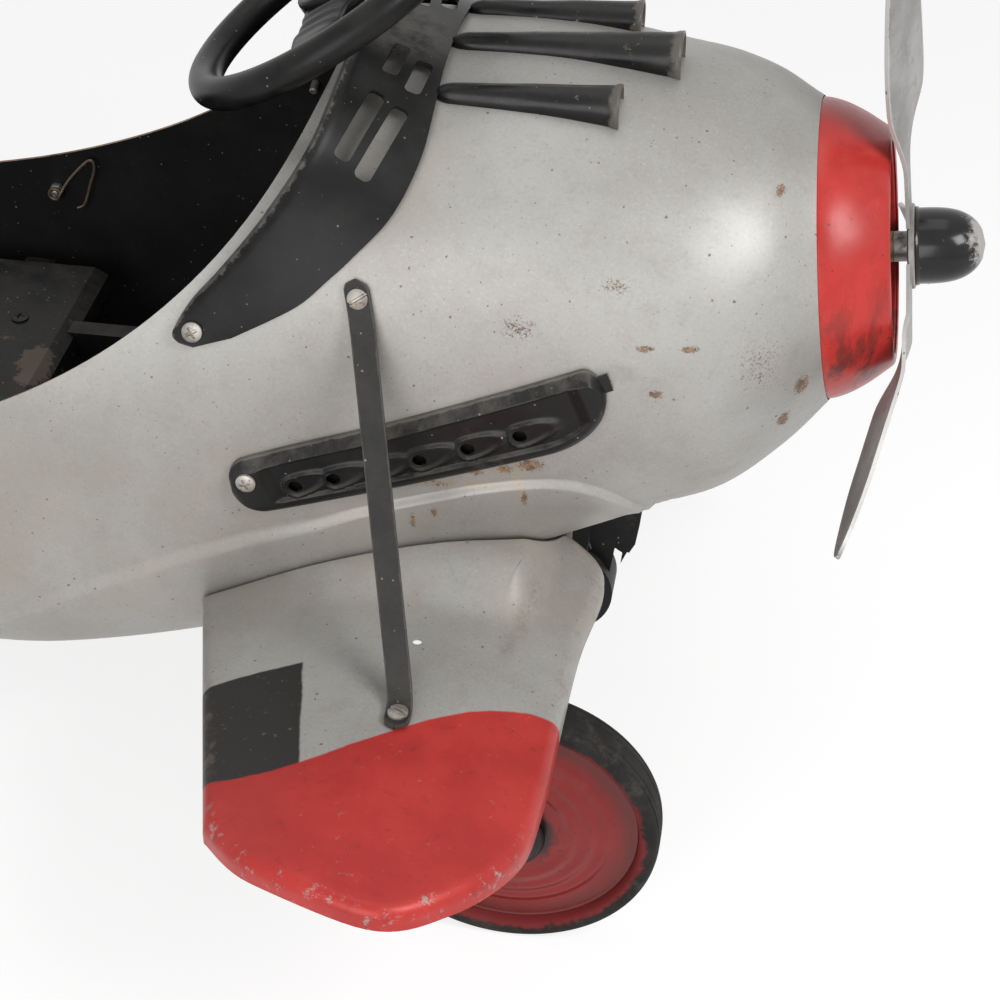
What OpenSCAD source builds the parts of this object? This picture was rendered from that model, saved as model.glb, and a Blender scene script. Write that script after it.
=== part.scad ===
// Child's pedal plane: pressed steel body on two rails, chain-driven front wheels, steered tail wheel.
// +X points to the nose, +Y to the pilot's left, +Z up. The floor is z = 0. Sizes are in millimetres.

/* [Fuselage] */
// Distance from the origin forward to the joint of fuselage and nose cowl
cowl_x = 472; // [462:1:482]
// Height of the thrust line at that joint
cowl_z = 411; // [401:1:421]
// Upward tilt of the thrust line
thrust_pitch = 7.5; // [5:0.5:9]
// Radius of the joint of fuselage and nose cowl
cowl_joint_r = 100; // [94:1:106]
// Height of the cowl top above the floor
cowl_top_z = 541; // [536:1:548]
// How much narrower than the body the cowl is at the axle, on each side
cowl_narrower = 27; // [22:1:30]
// Half width of the body at the seat
body_half_w = 190; // [184:1:200]
// Height of the belly above the floor
belly_z = 85; // [75:1:92]
// Distance from the origin to the widest place of the body
seat_x = -104; // [-112:1:-96]
// Height of the deck behind the cockpit
deck_z = 415; // [405:1:430]
// Tail end of the shell
tail_x = -560; // [-580:1:-550]
// Height of the middle of the tail end
tail_z = 282; // [276:1:290]
// Half width of the tail end
tail_half_w = 28; // [22:1:36]
// Sheet thickness of the fuselage
shell_t = 2; // [1.5:0.1:2.5]
// Front edge of the cockpit opening
cockpit_front_x = 167; // [160:1:170]
// How far the cockpit rim lies behind the windshield's back edge
rim_set_back = 9; // [5:1:12]
// Back edge of the cockpit opening
cockpit_back_x = -290; // [-298:1:-285]
// Lowest height of the cockpit rim
cockpit_low_z = 315; // [305:1:325]

/* [Nose] */
// Length of the nose cowl along the thrust line
cowl_len = 44; // [38:1:50]
// Radius of the cowl's mouth
cowl_lip_r = 76; // [72:1:82]
// Sheet thickness of the nose cowl
cowl_t = 2; // [1.5:0.1:3]
// Thickness of the bulkhead in the cowl's mouth
bulkhead_t = 3; // [2:0.5:5]
// Radius of the propeller's tips
prop_r = 220; // [205:1:235]
// Widest chord of a blade
prop_chord = 62; // [52:1:70]
// Sheet thickness of the propeller
prop_t = 2.5; // [1.5:0.1:3.5]
// Radius of the flat middle of the propeller
prop_flat_r = 62; // [55:1:70]
// Angle of the blades to the disc
prop_twist = 19; // [14:1:26]
// Backward bend of the knocked blade
prop_bend = 15; // [0:1:18]
// Distance from the cowl's lip to the propeller
prop_gap = 8.5; // [7:0.5:12]
// Radius of the spinner cap
spinner_r = 25; // [20:1:30]
// Length of the spinner cap
spinner_len = 45; // [36:1:54]
// Radius of the propeller shaft
prop_shaft_r = 6; // [5:0.5:8]

/* [Gun covers] */
// Muzzle radius of the centre cover
gun_center_r = 17; // [14:0.5:19]
// Muzzle radius of the side covers
gun_side_r = 14; // [11:0.5:16]
// Radius of the back end of every cover
gun_tail_r = 7; // [5:0.5:9]
// Length of the centre cover
gun_center_len = 144; // [130:1:150]
// Length of the side covers
gun_side_len = 112; // [100:1:125]
// Distance of the side covers from the middle
gun_side_y = 60; // [56:1:64]
// Sheet thickness of the covers
gun_t = 1.6; // [1:0.1:2.5]

/* [Windshield] */
// Wall thickness of the windshield frame
shield_t = 4; // [3:0.2:5]
// Height of its back edge above the cowl, in the middle
shield_rise = 28; // [22:1:30]
// Length of the frame along the cowl, at its sides
shield_len = 64; // [58:1:68]

/* [Exhaust plates] */
// Length of a plate
exhaust_len = 256; // [236:1:266]
// Width of a plate
exhaust_w = 34; // [28:1:38]
// How much an exhaust plate widens downwards to its front
exhaust_widen = 19; // [12:1:22]
// Height of a plate above the fuselage
exhaust_proud = 10; // [7:0.5:13]
// Number of holes in a plate
exhaust_holes = 6; // [4:1:7]
// Radius of these holes
exhaust_hole_r = 5; // [3.5:0.25:6]

/* [Wings] */
// Distance from the middle to a wing tip
wing_half_span = 465; // [450:1:480]
// Height of the wing's crest
wing_z = 238; // [235:1:242]
// Fall of the wing's top from its crest to the trailing edge
wing_camber = 38; // [30:1:42]
// How far the wing's root swells up along the fuselage
wing_rise = 24; // [12:1:28]
// Distance from the axle forward to the leading edge at the root
wing_front = 16; // [12:1:20]
// Distance from the axle back to the trailing edge at the root
wing_back = 225; // [215:1:235]
// Depth of the turned-down edge
wing_flange = 16; // [12:1:18]
// Radius of the rolled edge
wing_edge_r = 8; // [6:0.5:10]
// Sheet thickness of the wings
wing_t = 2; // [1.5:0.1:2.5]
// Radius of the hole in a wing
wing_hole_r = 3.2; // [2.5:0.1:4]
// Width of a wing strut
strut_w = 16; // [13:1:20]
// Thickness of a wing strut
strut_t = 3; // [2:0.2:4]

/* [Wheels] */
// Radius of a main wheel
wheel_r = 101.6; // [98:0.2:102]
// Width of a main tyre
tyre_w = 32; // [26:1:36]
// Radius where a main tyre meets its disc
disc_r = 89; // [85:1:91]
// Distance from the middle to a main wheel's outer face
track_half = 262; // [255:1:270]
// Distance from the origin forward to the main axle
axle_x = 300; // [294:1:306]
// Radius of the main axle
axle_r = 8; // [7:0.5:9]
// Radius of the tail wheel
tail_wheel_r = 62.5; // [58:0.5:64]
// Width of the tail tyre
tail_tyre_w = 24; // [20:1:28]
// Swivel axis of the tail fork
tail_pivot_x = -395; // [-402:1:-388]
// Distance of the tail wheel behind its swivel axis
tail_trail = 25; // [18:1:30]
// Radius of the tail fork's stem
tail_stem_r = 8; // [7:0.5:9]

/* [Frame] */
// Distance of a rail from the middle
rail_y = 60; // [58:1:62]
// Height of a rail's underside
rail_z = 232; // [228:1:236]
// Width of a rail
rail_w = 16; // [14:1:18]
// Height of a rail
rail_h = 20; // [16:1:22]
// Wall of a rail
rail_t = 2; // [1.5:0.25:3]
// Thickness of the hangers
hanger_t = 5; // [4:0.5:6]
// Height of the cross members
cross_h = 8; // [6:1:10]
// Width of the cross members
cross_w = 25; // [20:1:30]
// Half width of the seat
seat_half_w = 140; // [130:1:146]
// Sheet thickness of the seat
seat_t = 3; // [2:0.5:4]

/* [Pedals] */
// Height of the crank above the floor
crank_z = 350; // [346:1:352]
// Distance of the crank ahead of the axle
crank_ahead = 15; // [8:1:20]
// Length of the crank arms
crank_arm = 60; // [54:1:62]
// Radius of the crank shaft
crank_r = 7; // [6:0.5:8]
// Width of a pedal
pedal_w = 60; // [50:1:64]
// Length of a pedal
pedal_len = 60; // [50:1:64]
// Thickness of a pedal
pedal_h = 18; // [14:1:20]
// Teeth on the crank sprocket
crank_teeth = 22; // [20:1:23]
// Teeth on the axle sprocket
axle_teeth = 12; // [11:1:13]
// Pitch of the chain
chain_pitch = 12.7; // [12:0.1:13]
// Distance of the chain from the middle
chain_y = 14; // [13:0.5:15]
// Thickness of the sprockets
sprocket_t = 5; // [4:0.5:5.5]

/* [Steering] */
// Outer radius of the steering wheel
steer_r = 115; // [108:1:118]
// Radius of the rim's section
steer_rim_r = 11; // [9:0.5:12]
// Width of a spoke where it leaves the hub
spoke_hub_w = 40; // [30:1:44]
// Width of a spoke where it meets the rim
spoke_rim_w = 28; // [20:1:34]
// Distance from the origin forward to the steering wheel's centre
steer_x = 149; // [146:1:151]
// Height of the steering wheel's centre
steer_z = 570; // [568:1:576]
// Downward slope of the steering column
column_slope = 57; // [55:0.5:59]
// Radius of the steering column
column_r = 8; // [7:0.5:9]
// Length of the steering arm
steer_arm = 70; // [64:1:76]
// Radius of the drag link
link_r = 5; // [4:0.5:6]
// Length of the tail tiller
tiller_arm = 60; // [56:1:64]

/* [Tail] */
// Half span of the tailplane
tailplane_half = 210; // [180:1:240]
// Chord of the tailplane
tailplane_chord = 112; // [90:1:120]
// Height of the fin's top above the floor
fin_top_z = 475; // [440:1:510]
// Thickness of the tail sheets
tail_t = 3; // [2:0.2:4]

/* [Fasteners and clearances] */
// Shank radius of the bolts
bolt_r = 3; // [2.5:0.25:3.5]
// Head radius of the bolts
bolt_head_r = 6.5; // [5.5:0.25:7.5]
// Head height of the bolts
bolt_head_h = 3; // [2:0.25:4]
// Radial clearance of a shaft in its bush
run_gap = 0.05; // [0.02:0.01:0.09]
// Distance of a fitting from the curved skin that it sits on
skin_gap = 0.4; // [0.3:0.05:0.6]
// Free space beside turning pieces
side_gap = 0.5; // [0.4:0.1:0.7]

/* [Hidden] */
$fn = 48;

// Colours
silver_paint = [0.72, 0.73, 0.74];
red_paint = [0.72, 0.10, 0.11];
black_paint = [0.07, 0.07, 0.07];
rubber = [0.13, 0.12, 0.12];
bare_steel = [0.58, 0.57, 0.55];
bronze = [0.62, 0.48, 0.26];

// Fuselage stations from tail to nose: x, top height, bottom height, half width, squareness
cowl_half_w = body_half_w - cowl_narrower;
cowl_joint_h = cowl_joint_r * cos(thrust_pitch);
stations = [
    [tail_x, tail_z + 43, tail_z - 42, tail_half_w, 2.2],
    [tail_x + 60, tail_z + 68, tail_z - 70, tail_half_w + 34, 2.3],
    [tail_x + 160, deck_z - 30, belly_z + 80, body_half_w - 82, 2.5],
    [seat_x - 196, deck_z, belly_z + 27, body_half_w - 40, 2.7],
    [seat_x - 96, deck_z + 15, belly_z + 3, body_half_w - 10, 2.9],
    [seat_x, deck_z + 30, belly_z, body_half_w, 3],
    [seat_x + 64, deck_z + 47, belly_z + 3, body_half_w, 3],
    [seat_x + 154, cowl_top_z - 46, belly_z + 20, body_half_w - 8, 3],
    [seat_x + 254, cowl_top_z - 12, belly_z + 46, cowl_half_w + 9, 2.9],
    [axle_x - 80, cowl_top_z - 3, belly_z + 67, cowl_half_w + 5, 2.6],
    [axle_x, cowl_top_z, belly_z + 110, cowl_half_w, 2.35],
    [cowl_x - 95, cowl_z + 123, cowl_z - 181, cowl_joint_r + 55, 2.1],
    [cowl_x - 60, cowl_z + 120, cowl_z - 166, cowl_joint_r + 47, 2],
    [cowl_x - 27, cowl_z + 112, cowl_z - 131, cowl_joint_r + 27, 2],
    [cowl_x, cowl_z + cowl_joint_h, cowl_z - cowl_joint_h, cowl_joint_r, 2]
];
last_station = len(stations) - 1;
body_steps = 24;
nose_steps = 8;
around = 40;
nose_x = cowl_x - 95;
section_x = concat(
    [for (i = [0 : body_steps - 1]) lerp(tail_x, nose_x, i / body_steps)],
    [for (i = [0 : nose_steps]) lerp(nose_x, cowl_x, i / nose_steps)]);

// Places that several pieces share
axle_z = wheel_r;
rail_top = rail_z + rail_h;
rail_front = axle_x + 45;
rail_rear = tail_pivot_x - 35;
crank_x = axle_x + crank_ahead;
bulkhead_s = cowl_len - 10;
prop_s = cowl_len + prop_gap;
strut_top = [axle_x - 109, cowl_top_z - 98];
strut_foot = [axle_x - 60, wing_half_span - 157];
wing_hole = [axle_x - 62, wing_half_span - 229];
shield_screw = [cockpit_front_x - 79, cowl_top_z - 125];
shield_back = 5;
shield_top_share = 0.8;
wall_bolt = [seat_x - 26, cockpit_low_z - 19];
exhaust_rear = [axle_x - 178, wing_z + 68];
exhaust_rise = 21.5;
exhaust_end = exhaust_w / 2;
exhaust_first = exhaust_end + 26;
exhaust_last = exhaust_len - 60;
exhaust_bow = 27;
exhaust_drop = 5;
exhaust_crown = 4;
exhaust_brow = 10;
exhaust_chin = 50;
tail_axle_x = tail_pivot_x - tail_trail;

// Arithmetic
function lerp(a, b, t) = a + (b - a) * t;
function smooth(t) = let (u = max(0, min(1, t))) u * u * (3 - 2 * u);
function unit(v) = v / norm(v);
function signed_pow(v, p) = sign(v) * pow(abs(v), p);
function bezier(p, t) =
    let (u = 1 - t) p[0] * u * u * u + p[1] * 3 * t * u * u + p[2] * 3 * t * t * u + p[3] * t * t * t;
function through(p, s) =
    let (i = min(floor(s), len(p) - 2), t = s - i,
        a = p[max(i - 1, 0)], b = p[i], c = p[i + 1], d = p[min(i + 2, len(p) - 1)])
    b + 0.5 * t * (c - a + t * (2 * a - 5 * b + 4 * c - d + t * (3 * (b - c) + d - a)));
function sum(list, i = 0) = i < len(list) ? list[i] + sum(list, i + 1) : 0;

// Smooth curve through a column of the stations
function station_at(x, i = 0) = i >= last_station - 1 || x < stations[i + 1][0] ? i : station_at(x, i + 1);
function station_slope(i, c) =
    let (a = stations[max(i - 1, 0)], b = stations[min(i + 1, last_station)])
    (b[c] - a[c]) / (b[0] - a[0]);
function fuselage_at(x, c) =
    let (i = station_at(x), a = stations[i], b = stations[i + 1], h = b[0] - a[0], t = (x - a[0]) / h)
    a[c] * (1 + 2 * t) * pow(1 - t, 2) + b[c] * t * t * (3 - 2 * t)
    + h * station_slope(i, c) * t * pow(1 - t, 2) - h * station_slope(i + 1, c) * t * t * (1 - t);

// A section: middle height, half height, half width, squareness, forward lean
function section(x, inset = 0) =
    let (top = fuselage_at(x, 1) - inset, bottom = fuselage_at(x, 2) + inset)
    [(top + bottom) / 2, (top - bottom) / 2, fuselage_at(x, 3) - inset, fuselage_at(x, 4),
     tan(thrust_pitch) * smooth((x - nose_x) / (cowl_x - nose_x))];
function section_point(x, a, inset = 0) =
    let (s = section(x, inset), v = s[1] * signed_pow(sin(a), 2 / s[3]))
    [x - s[4] * v, s[2] * signed_pow(cos(a), 2 / s[3]), s[0] + v];
function section_ring(x, inset = 0) = [for (j = [0 : around - 1]) section_point(x, 360 * j / around, inset)];

// Half width of the skin at a height, height of the skin at a distance from the middle, and its normal
function skin_y(x, z, inset = 0) =
    let (s = section(x, inset), t = min(1, abs(z - s[0]) / s[1]))
    s[2] * pow(1 - pow(t, s[3]), 1 / s[3]);
function skin_top(x, y, inset = 0) =
    let (s = section(x, inset), t = min(1, abs(y) / s[2]))
    s[0] + s[1] * pow(1 - pow(t, s[3]), 1 / s[3]);
function skin_normal(x, z) =
    let (s = section(x), y = skin_y(x, z), q = (z - s[0]) / s[1])
    unit([0, pow(y / s[2], s[3] - 1) / s[2], signed_pow(q, s[3] - 1) / s[1]]);
function skin_point(x, z, lift = 0) = [x, skin_y(x, z), z] + lift * skin_normal(x, z);

// Closed solid through rings of equally many points, with a cap on its first and last ring
function face_volume(p, f) = sum([for (k = [1 : len(f) - 2]) p[f[0]] * cross(p[f[k]], p[f[k + 1]])]);
module loft(rings) {
    m = len(rings[0]);
    n = len(rings);
    points = [for (r = rings) each r];
    sides = [for (i = [0 : n - 2]) for (j = [0 : m - 1])
        let (a = i * m + j, b = i * m + (j + 1) % m)
        each [[a, a + m, b + m], [a, b + m, b]]];
    caps = [[for (j = [0 : m - 1]) j], [for (j = [m - 1 : -1 : 0]) (n - 1) * m + j]];
    faces = concat(sides, caps);
    outward = sum([for (f = caps) face_volume(points, f)]) + side_volume(points, sides) < 0;
    polyhedron(points, outward ? faces : [for (f = faces) [for (k = [len(f) - 1 : -1 : 0]) f[k]]]);
}
function side_volume(p, sides, lo = 0, hi = -1) =
    let (end = hi < 0 ? len(sides) : hi, mid = floor((lo + end) / 2))
    end - lo < 2 ? face_volume(p, sides[lo])
        : side_volume(p, sides, lo, mid) + side_volume(p, sides, mid, end);

// Flat outlines
function arc(c, r, from, to, steps = 24) =
    [for (i = [0 : steps]) let (a = lerp(from, to, i / steps)) c + r * [cos(a), sin(a)]];
function belt(c1, r1, c2, r2) =
    let (d = c2 - c1, away = atan2(d[1], d[0]), half = acos((r1 - r2) / norm(d)))
    concat(arc(c1, r1, away + half, away + 360 - half), arc(c2, r2, away - half, away + half));
function path_normal(p, i) =
    let (a = p[max(i - 1, 0)], b = p[min(i + 1, len(p) - 1)], d = unit(b - a)) [-d[1], d[0]];
function thick_path(p, t) = concat(
    [for (i = [0 : len(p) - 1]) p[i] + path_normal(p, i) * t / 2],
    [for (i = [len(p) - 1 : -1 : 0]) p[i] - path_normal(p, i) * t / 2]);

// Solids used by several pieces
module slab_xz(y0, y1) {
    translate([0, y1, 0]) rotate([90, 0, 0]) linear_extrude(height = y1 - y0) children();
}
module rod_y(x, z, r, y0, y1) {
    translate([x, y1, z]) rotate([90, 0, 0]) cylinder(r = r, h = y1 - y0);
}
module bar(p, q, r) {
    v = q - p;
    translate(p) rotate([0, acos(v[2] / norm(v)), atan2(v[1], v[0])]) cylinder(r = r, h = norm(v));
}
module box(low, high) {
    translate(low) cube(high - low);
}
module at_thrust(s = 0) {
    translate([cowl_x, 0, cowl_z]) rotate([0, 90 - thrust_pitch, 0]) translate([0, 0, s]) children();
}
module at_column(s = 0) {
    translate([steer_x, 0, steer_z]) rotate([0, 90 + column_slope, 0]) translate([0, 0, s]) children();
}
module both_sides() {
    children();
    mirror([0, 1, 0]) children();
}

// A bolt square to the skin: head outside a fitting that is lift thick, shank through the sheet
module skin_bolt(at, lift) {
    outer = skin_point(at[0], at[1], lift);
    n = skin_normal(at[0], at[1]);
    bar(outer - n * (lift + 12), outer + n * 0.1, bolt_r);
    bar(outer, outer + n * bolt_head_h, bolt_head_r);
}
// A hole square to the skin, from a height over it outwards
hole_depth = 30;
module skin_hole(at, r = bolt_r + run_gap, from = -hole_depth) {
    p = skin_point(at[0], at[1]);
    n = skin_normal(at[0], at[1]);
    bar(p + n * from, p + n * (exhaust_proud + hole_depth), r);
}

// Fuselage
rim_front_x = cockpit_front_x - rim_set_back;
cockpit_front_curve = [
    [rim_front_x, cowl_top_z + 2], [rim_front_x - 42, cowl_top_z - 88],
    [-rim_set_back, cockpit_low_z + 15], [seat_x - 101, cockpit_low_z]];
cockpit_back_curve = [
    [seat_x - 101, cockpit_low_z], [seat_x - 151, cockpit_low_z],
    [cockpit_back_x, cockpit_low_z + 35], [cockpit_back_x, deck_z + 25]];
cockpit_steps = 16;
cut_top = cowl_top_z + 60;
cockpit_outline = concat(
    [[rim_front_x, cut_top]],
    [for (i = [0 : cockpit_steps]) bezier(cockpit_front_curve, i / cockpit_steps)],
    [for (i = [1 : cockpit_steps]) bezier(cockpit_back_curve, i / cockpit_steps)],
    [[cockpit_back_x, cut_top]]);
belly_half_w = rail_y + 4;
belly_front = axle_x + 62;
belly_rear = axle_x - 52;
tail_tube_r = tail_stem_r + 6;
tail_slot = [tail_x - 12, tail_x - 12 + tailplane_chord];

module fuselage_shell() {
    color(silver_paint) difference() {
        loft(concat(
            [for (x = section_x) section_ring(x)],
            [for (i = [len(section_x) - 1 : -1 : 0])
                section_ring(max(section_x[i], tail_x + shell_t), shell_t)]));
        slab_xz(-body_half_w - 20, body_half_w + 20) polygon(cockpit_outline);
        box([belly_rear, -belly_half_w, 0], [belly_front, belly_half_w, rail_z]);
        at_column() cylinder(r = column_r + 3, h = bracket_s);
        translate([tail_pivot_x, 0, 0]) cylinder(r = tail_tube_r + skin_gap, h = rail_z);
        box([tail_x - 60, -tailplane_half, tailplane_z - skin_gap],
            [tail_slot[1] + skin_gap, tailplane_half, tailplane_z + tail_t + skin_gap]);
        box([tail_x - 60, -tail_t / 2 - skin_gap, fin_low_z - skin_gap],
            [fin_front_x + skin_gap, tail_t / 2 + skin_gap, fin_top_z]);
        both_sides() {
            skin_hole(strut_top);
            skin_hole(shield_screw);
            skin_hole(exhaust_screw);
            skin_hole(wall_bolt);
        }
    }
}

// Nose
cowl_steps = 10;
function cowl_r(s) = lerp(cowl_joint_r - 1, cowl_lip_r, pow(max(0, s) / cowl_len, 1.35));
module nose_cowl() {
    color(red_paint) at_thrust() rotate_extrude($fn = 96)
        polygon(concat(
            [for (i = [0 : cowl_steps]) let (s = cowl_len * i / cowl_steps) [cowl_r(s), s]],
            [for (i = [cowl_steps : -1 : 0]) let (s = cowl_len * i / cowl_steps) [cowl_r(s) - cowl_t, s]]));
}
bush_r = prop_shaft_r + 4;
module nose_bulkhead() {
    color(black_paint) at_thrust(bulkhead_s) difference() {
        cylinder(r = cowl_r(bulkhead_s + bulkhead_t) - cowl_t - skin_gap, h = bulkhead_t, $fn = 96);
        translate([0, 0, -1]) cylinder(r = bush_r, h = bulkhead_t + 2);
    }
}
prop_bush_tail = 6;
prop_bush_front = 6;
prop_bush_len = prop_bush_tail + bulkhead_t + prop_bush_front;
module prop_bush() {
    color(bronze) at_thrust(bulkhead_s) difference() {
        union() {
            translate([0, 0, -prop_bush_tail]) cylinder(r = bush_r, h = prop_bush_len);
            translate([0, 0, -prop_bush_tail / 2]) cylinder(r = bush_r + 6, h = prop_bush_tail / 2);
        }
        translate([0, 0, -prop_bush_tail - 1])
            cylinder(r = prop_shaft_r + run_gap, h = prop_bush_len + 2);
    }
}
module prop_shaft() {
    front = prop_bush_front + bulkhead_t + side_gap;
    color(bare_steel) at_thrust(bulkhead_s) {
        translate([0, 0, -prop_bush_tail - 12])
            cylinder(r = prop_shaft_r, h = prop_s - bulkhead_s + prop_bush_tail + 12);
        translate([0, 0, -prop_bush_tail - 8]) cylinder(r = bush_r, h = 8 - side_gap, $fn = 6);
        translate([0, 0, front]) cylinder(r = bush_r, h = prop_s - bulkhead_s - front);
    }
}
blade_steps = 14;
blade_root_r = spinner_r - 2;
blade_lift = 0.8;
prop_hub_t = prop_t + 2 * blade_lift + 0.6;
function blade_r(i) = lerp(blade_root_r, prop_r, sin(90 * i / blade_steps));
function blade_half_chord(r) =
    let (u = (r - blade_root_r) / (prop_r - blade_root_r), tip = max(0, u - 0.45) / 0.55,
        full = prop_chord / 2 * (0.56 + 0.44 * smooth(u / 0.55)))
    max(4, full * sqrt(max(0, 1 - pow(tip, 2.6))));
function blade_angle(r) = prop_twist * smooth((r - prop_flat_r) / 48);
blade_camber = 0.05;
blade_outline = [[-1, 0], [0, 1], [1, 0]];
function blade_section(r, bend) =
    let (c = blade_half_chord(r), a = blade_angle(r), back = tan(bend) * max(0, r - prop_flat_r))
    [for (side = [0, 1], k = [0 : 2])
        let (q = blade_outline[side == 0 ? k : 2 - k], across = c * q[0],
            up = blade_lift + c * blade_camber * q[1] + side * prop_t)
        [-r, across * cos(a) - up * sin(a), across * sin(a) + up * cos(a) - back]];
module propeller() {
    color(bare_steel) at_thrust(prop_s) {
        for (k = [0 : 2])
            rotate([0, 0, 120 * k])
                loft([for (i = [0 : blade_steps]) blade_section(blade_r(i), k == 1 ? prop_bend : 0)]);
        cylinder(r = spinner_r + 3, h = prop_hub_t);
    }
}
module spinner() {
    dome = spinner_r * 0.55;
    color(black_paint) at_thrust(prop_s + prop_hub_t) rotate_extrude($fn = 64)
        polygon(concat(
            [[0, 0], [spinner_r, 0]],
            [for (i = [0 : 8]) let (a = 90 * i / 8)
                [spinner_r - dome + dome * cos(a), spinner_len - dome + dome * sin(a)]],
            [[0, spinner_len]]));
}

// Gun covers
gun_tail_x = cockpit_front_x + shield_back + shield_len * shield_top_share + 3;
gun_tail_rise = 0.2;
gun_muzzle_rise = 0.32;
module fuselage_part(x0, x1) {
    loft([for (x = section_x) if (x > x0 - 60 && x < x1 + 60) section_ring(x)]);
}
module gun_cover(y, len, muzzle_r) {
    tail = [gun_tail_x, y, skin_top(gun_tail_x, y) + gun_tail_r * gun_tail_rise];
    muzzle = [gun_tail_x + len, y, skin_top(gun_tail_x + len, y) + muzzle_r * gun_muzzle_rise];
    axis = unit(muzzle - tail);
    color(black_paint) difference() {
        taper(tail, muzzle, gun_tail_r, muzzle_r);
        taper(tail + axis * 4, muzzle + axis, gun_tail_r - gun_t, muzzle_r - gun_t);
        fuselage_part(gun_tail_x, gun_tail_x + len);
    }
}
module taper(p, q, r1, r2) {
    v = q - p;
    translate(p) rotate([0, acos(v[2] / norm(v)), atan2(v[1], v[0])]) cylinder(r1 = r1, r2 = r2, h = norm(v));
}
module gun_cover_left() {
    gun_cover(gun_side_y, gun_side_len, gun_side_r);
}
module gun_cover_center() {
    gun_cover(0, gun_center_len, gun_center_r);
}
module gun_cover_right() {
    gun_cover(-gun_side_y, gun_side_len, gun_side_r);
}

// Windshield frame: keys of angle round the section, back edge ahead of the cockpit, length over shield_len
shield_keys = [
    [19, -79, 0.38], [21, -89, 0.92], [23.5, -91.5, 1.26], [28, -80, 1.33], [33, -60, 1.25],
    [42, -33, 1.16], [54, -10, 1], [67, 0, 0.9], [90, shield_back, shield_top_share]];
shield_steps = 2;
shield_across = 5;
shield_spots = [for (i = [0 : shield_steps * (len(shield_keys) - 1)]) through(shield_keys, i / shield_steps)];
function shield_key(a) = [for (i = [0 : 2]) lookup(a, [for (k = shield_keys) [k[0], k[i]]])];
function shield_high(a) =
    let (u = sin(90 * max(0, min(1, (a - shield_keys[0][0]) / (90 - shield_keys[0][0])))))
    lerp(shield_t + 1, shield_rise, smooth(u * 1.1));
function shield_point(key, v, depth = 0, side = 1) =
    let (x = cockpit_front_x + key[1] + shield_len * key[2] * v, p = section_point(x, key[0]),
        out = unit([0, p[1], p[2] - section(x)[0]]), lift = lerp(shield_high(key[0]), shield_t, pow(v, 0.8)),
        q = p + out * (skin_gap + lift - depth))
    [q[0], side * q[1], q[2]];
function shield_ring(key, side) = concat(
    [for (j = [0 : shield_across]) shield_point(key, j / shield_across, 0, side)],
    [for (j = [shield_across : -1 : 0]) shield_point(key, j / shield_across, shield_t, side)]);
shield_slot_w = 11;
module shield_slot(a0, v0, a1, v1) {
    from = shield_point(shield_key(a0), v0, shield_t / 2);
    to = shield_point(shield_key(a1), v1, shield_t / 2);
    u = unit(to - from);
    mid = shield_key((a0 + a1) / 2);
    v = (v0 + v1) / 2;
    out = unit(cross(u, shield_point(mid, v + 0.1) - shield_point(mid, v - 0.1)));
    side = cross(out, u);
    at = (from + to) / 2;
    multmatrix([for (i = [0 : 2]) [u[i], side[i], out[i], at[i]]])
        cube([norm(to - from), shield_slot_w, 8 * shield_t], center = true);
}
module windshield_frame() {
    last = len(shield_spots) - 1;
    color(black_paint) difference() {
        loft(concat(
            [for (i = [0 : last]) shield_ring(shield_spots[i], 1)],
            [for (i = [last - 1 : -1 : 0]) shield_ring(shield_spots[i], -1)]));
        both_sides() {
            skin_hole(shield_screw);
            shield_slot(54, 0.28, 71, 0.40);
            shield_slot(50, 0.57, 68, 0.67);
            shield_slot(76.5, 0.43, 85, 0.48);
            shield_slot(72.5, 0.72, 82, 0.78);
        }
    }
}
module windshield_screws() {
    color(bare_steel) both_sides() skin_bolt(shield_screw, skin_gap + shield_t + 1.8);
}

// Exhaust plates: d runs along the plate from its back end
function exhaust_axis(d) = exhaust_rear + (d - exhaust_end) * [cos(exhaust_rise), sin(exhaust_rise)];
function exhaust_spot(d, q) = exhaust_axis(d) + q * [-sin(exhaust_rise), cos(exhaust_rise)];
exhaust_screw = exhaust_spot(exhaust_end - 2, 7);
function round_end(into, len) = sqrt(max(0, 1 - pow(max(0, into) / len, 2)));
function exhaust_up(d) = (exhaust_end + exhaust_crown * (1 - smooth(2 * d / exhaust_len)))
    * round_end(exhaust_end - d, exhaust_end) * round_end(d - exhaust_len + exhaust_brow, exhaust_brow);
function exhaust_low(d) = (exhaust_end + exhaust_widen * sqrt(d / exhaust_len))
    * round_end(exhaust_end - d, exhaust_end) * round_end(d - exhaust_len + exhaust_chin, exhaust_chin);
function exhaust_half(d) = max(1, (exhaust_up(d) + exhaust_low(d)) / 2);
function exhaust_mid(d) = (exhaust_up(d) - exhaust_low(d)) / 2;
exhaust_steps = 30;
exhaust_across = 6;
function exhaust_d(i) = exhaust_len * (1 - cos(180 * i / exhaust_steps)) / 2;
function exhaust_ring(d) = concat(
    [for (j = [0 : exhaust_across])
        let (t = 2 * j / exhaust_across - 1, s = exhaust_spot(d, exhaust_mid(d) + t * exhaust_half(d)))
        skin_point(s[0], s[1], exhaust_proud * (0.35 + 0.65 * sqrt(1 - pow(t, 4)))
            * lerp(0.4, 1, smooth(exhaust_half(d) / exhaust_end)))],
    [for (j = [exhaust_across : -1 : 0])
        let (t = 2 * j / exhaust_across - 1, s = exhaust_spot(d, exhaust_mid(d) + t * exhaust_half(d)))
        skin_point(s[0], s[1], skin_gap)]);
exhaust_lug = [-3, 9];
function exhaust_lug_ring(d) =
    [for (c = [[0, 1], [1, 1], [1, 0], [0, 0]])
        let (s = exhaust_spot(d, exhaust_lug[c[0]])) skin_point(s[0], s[1], skin_gap + 2.5 * c[1])];
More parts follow.
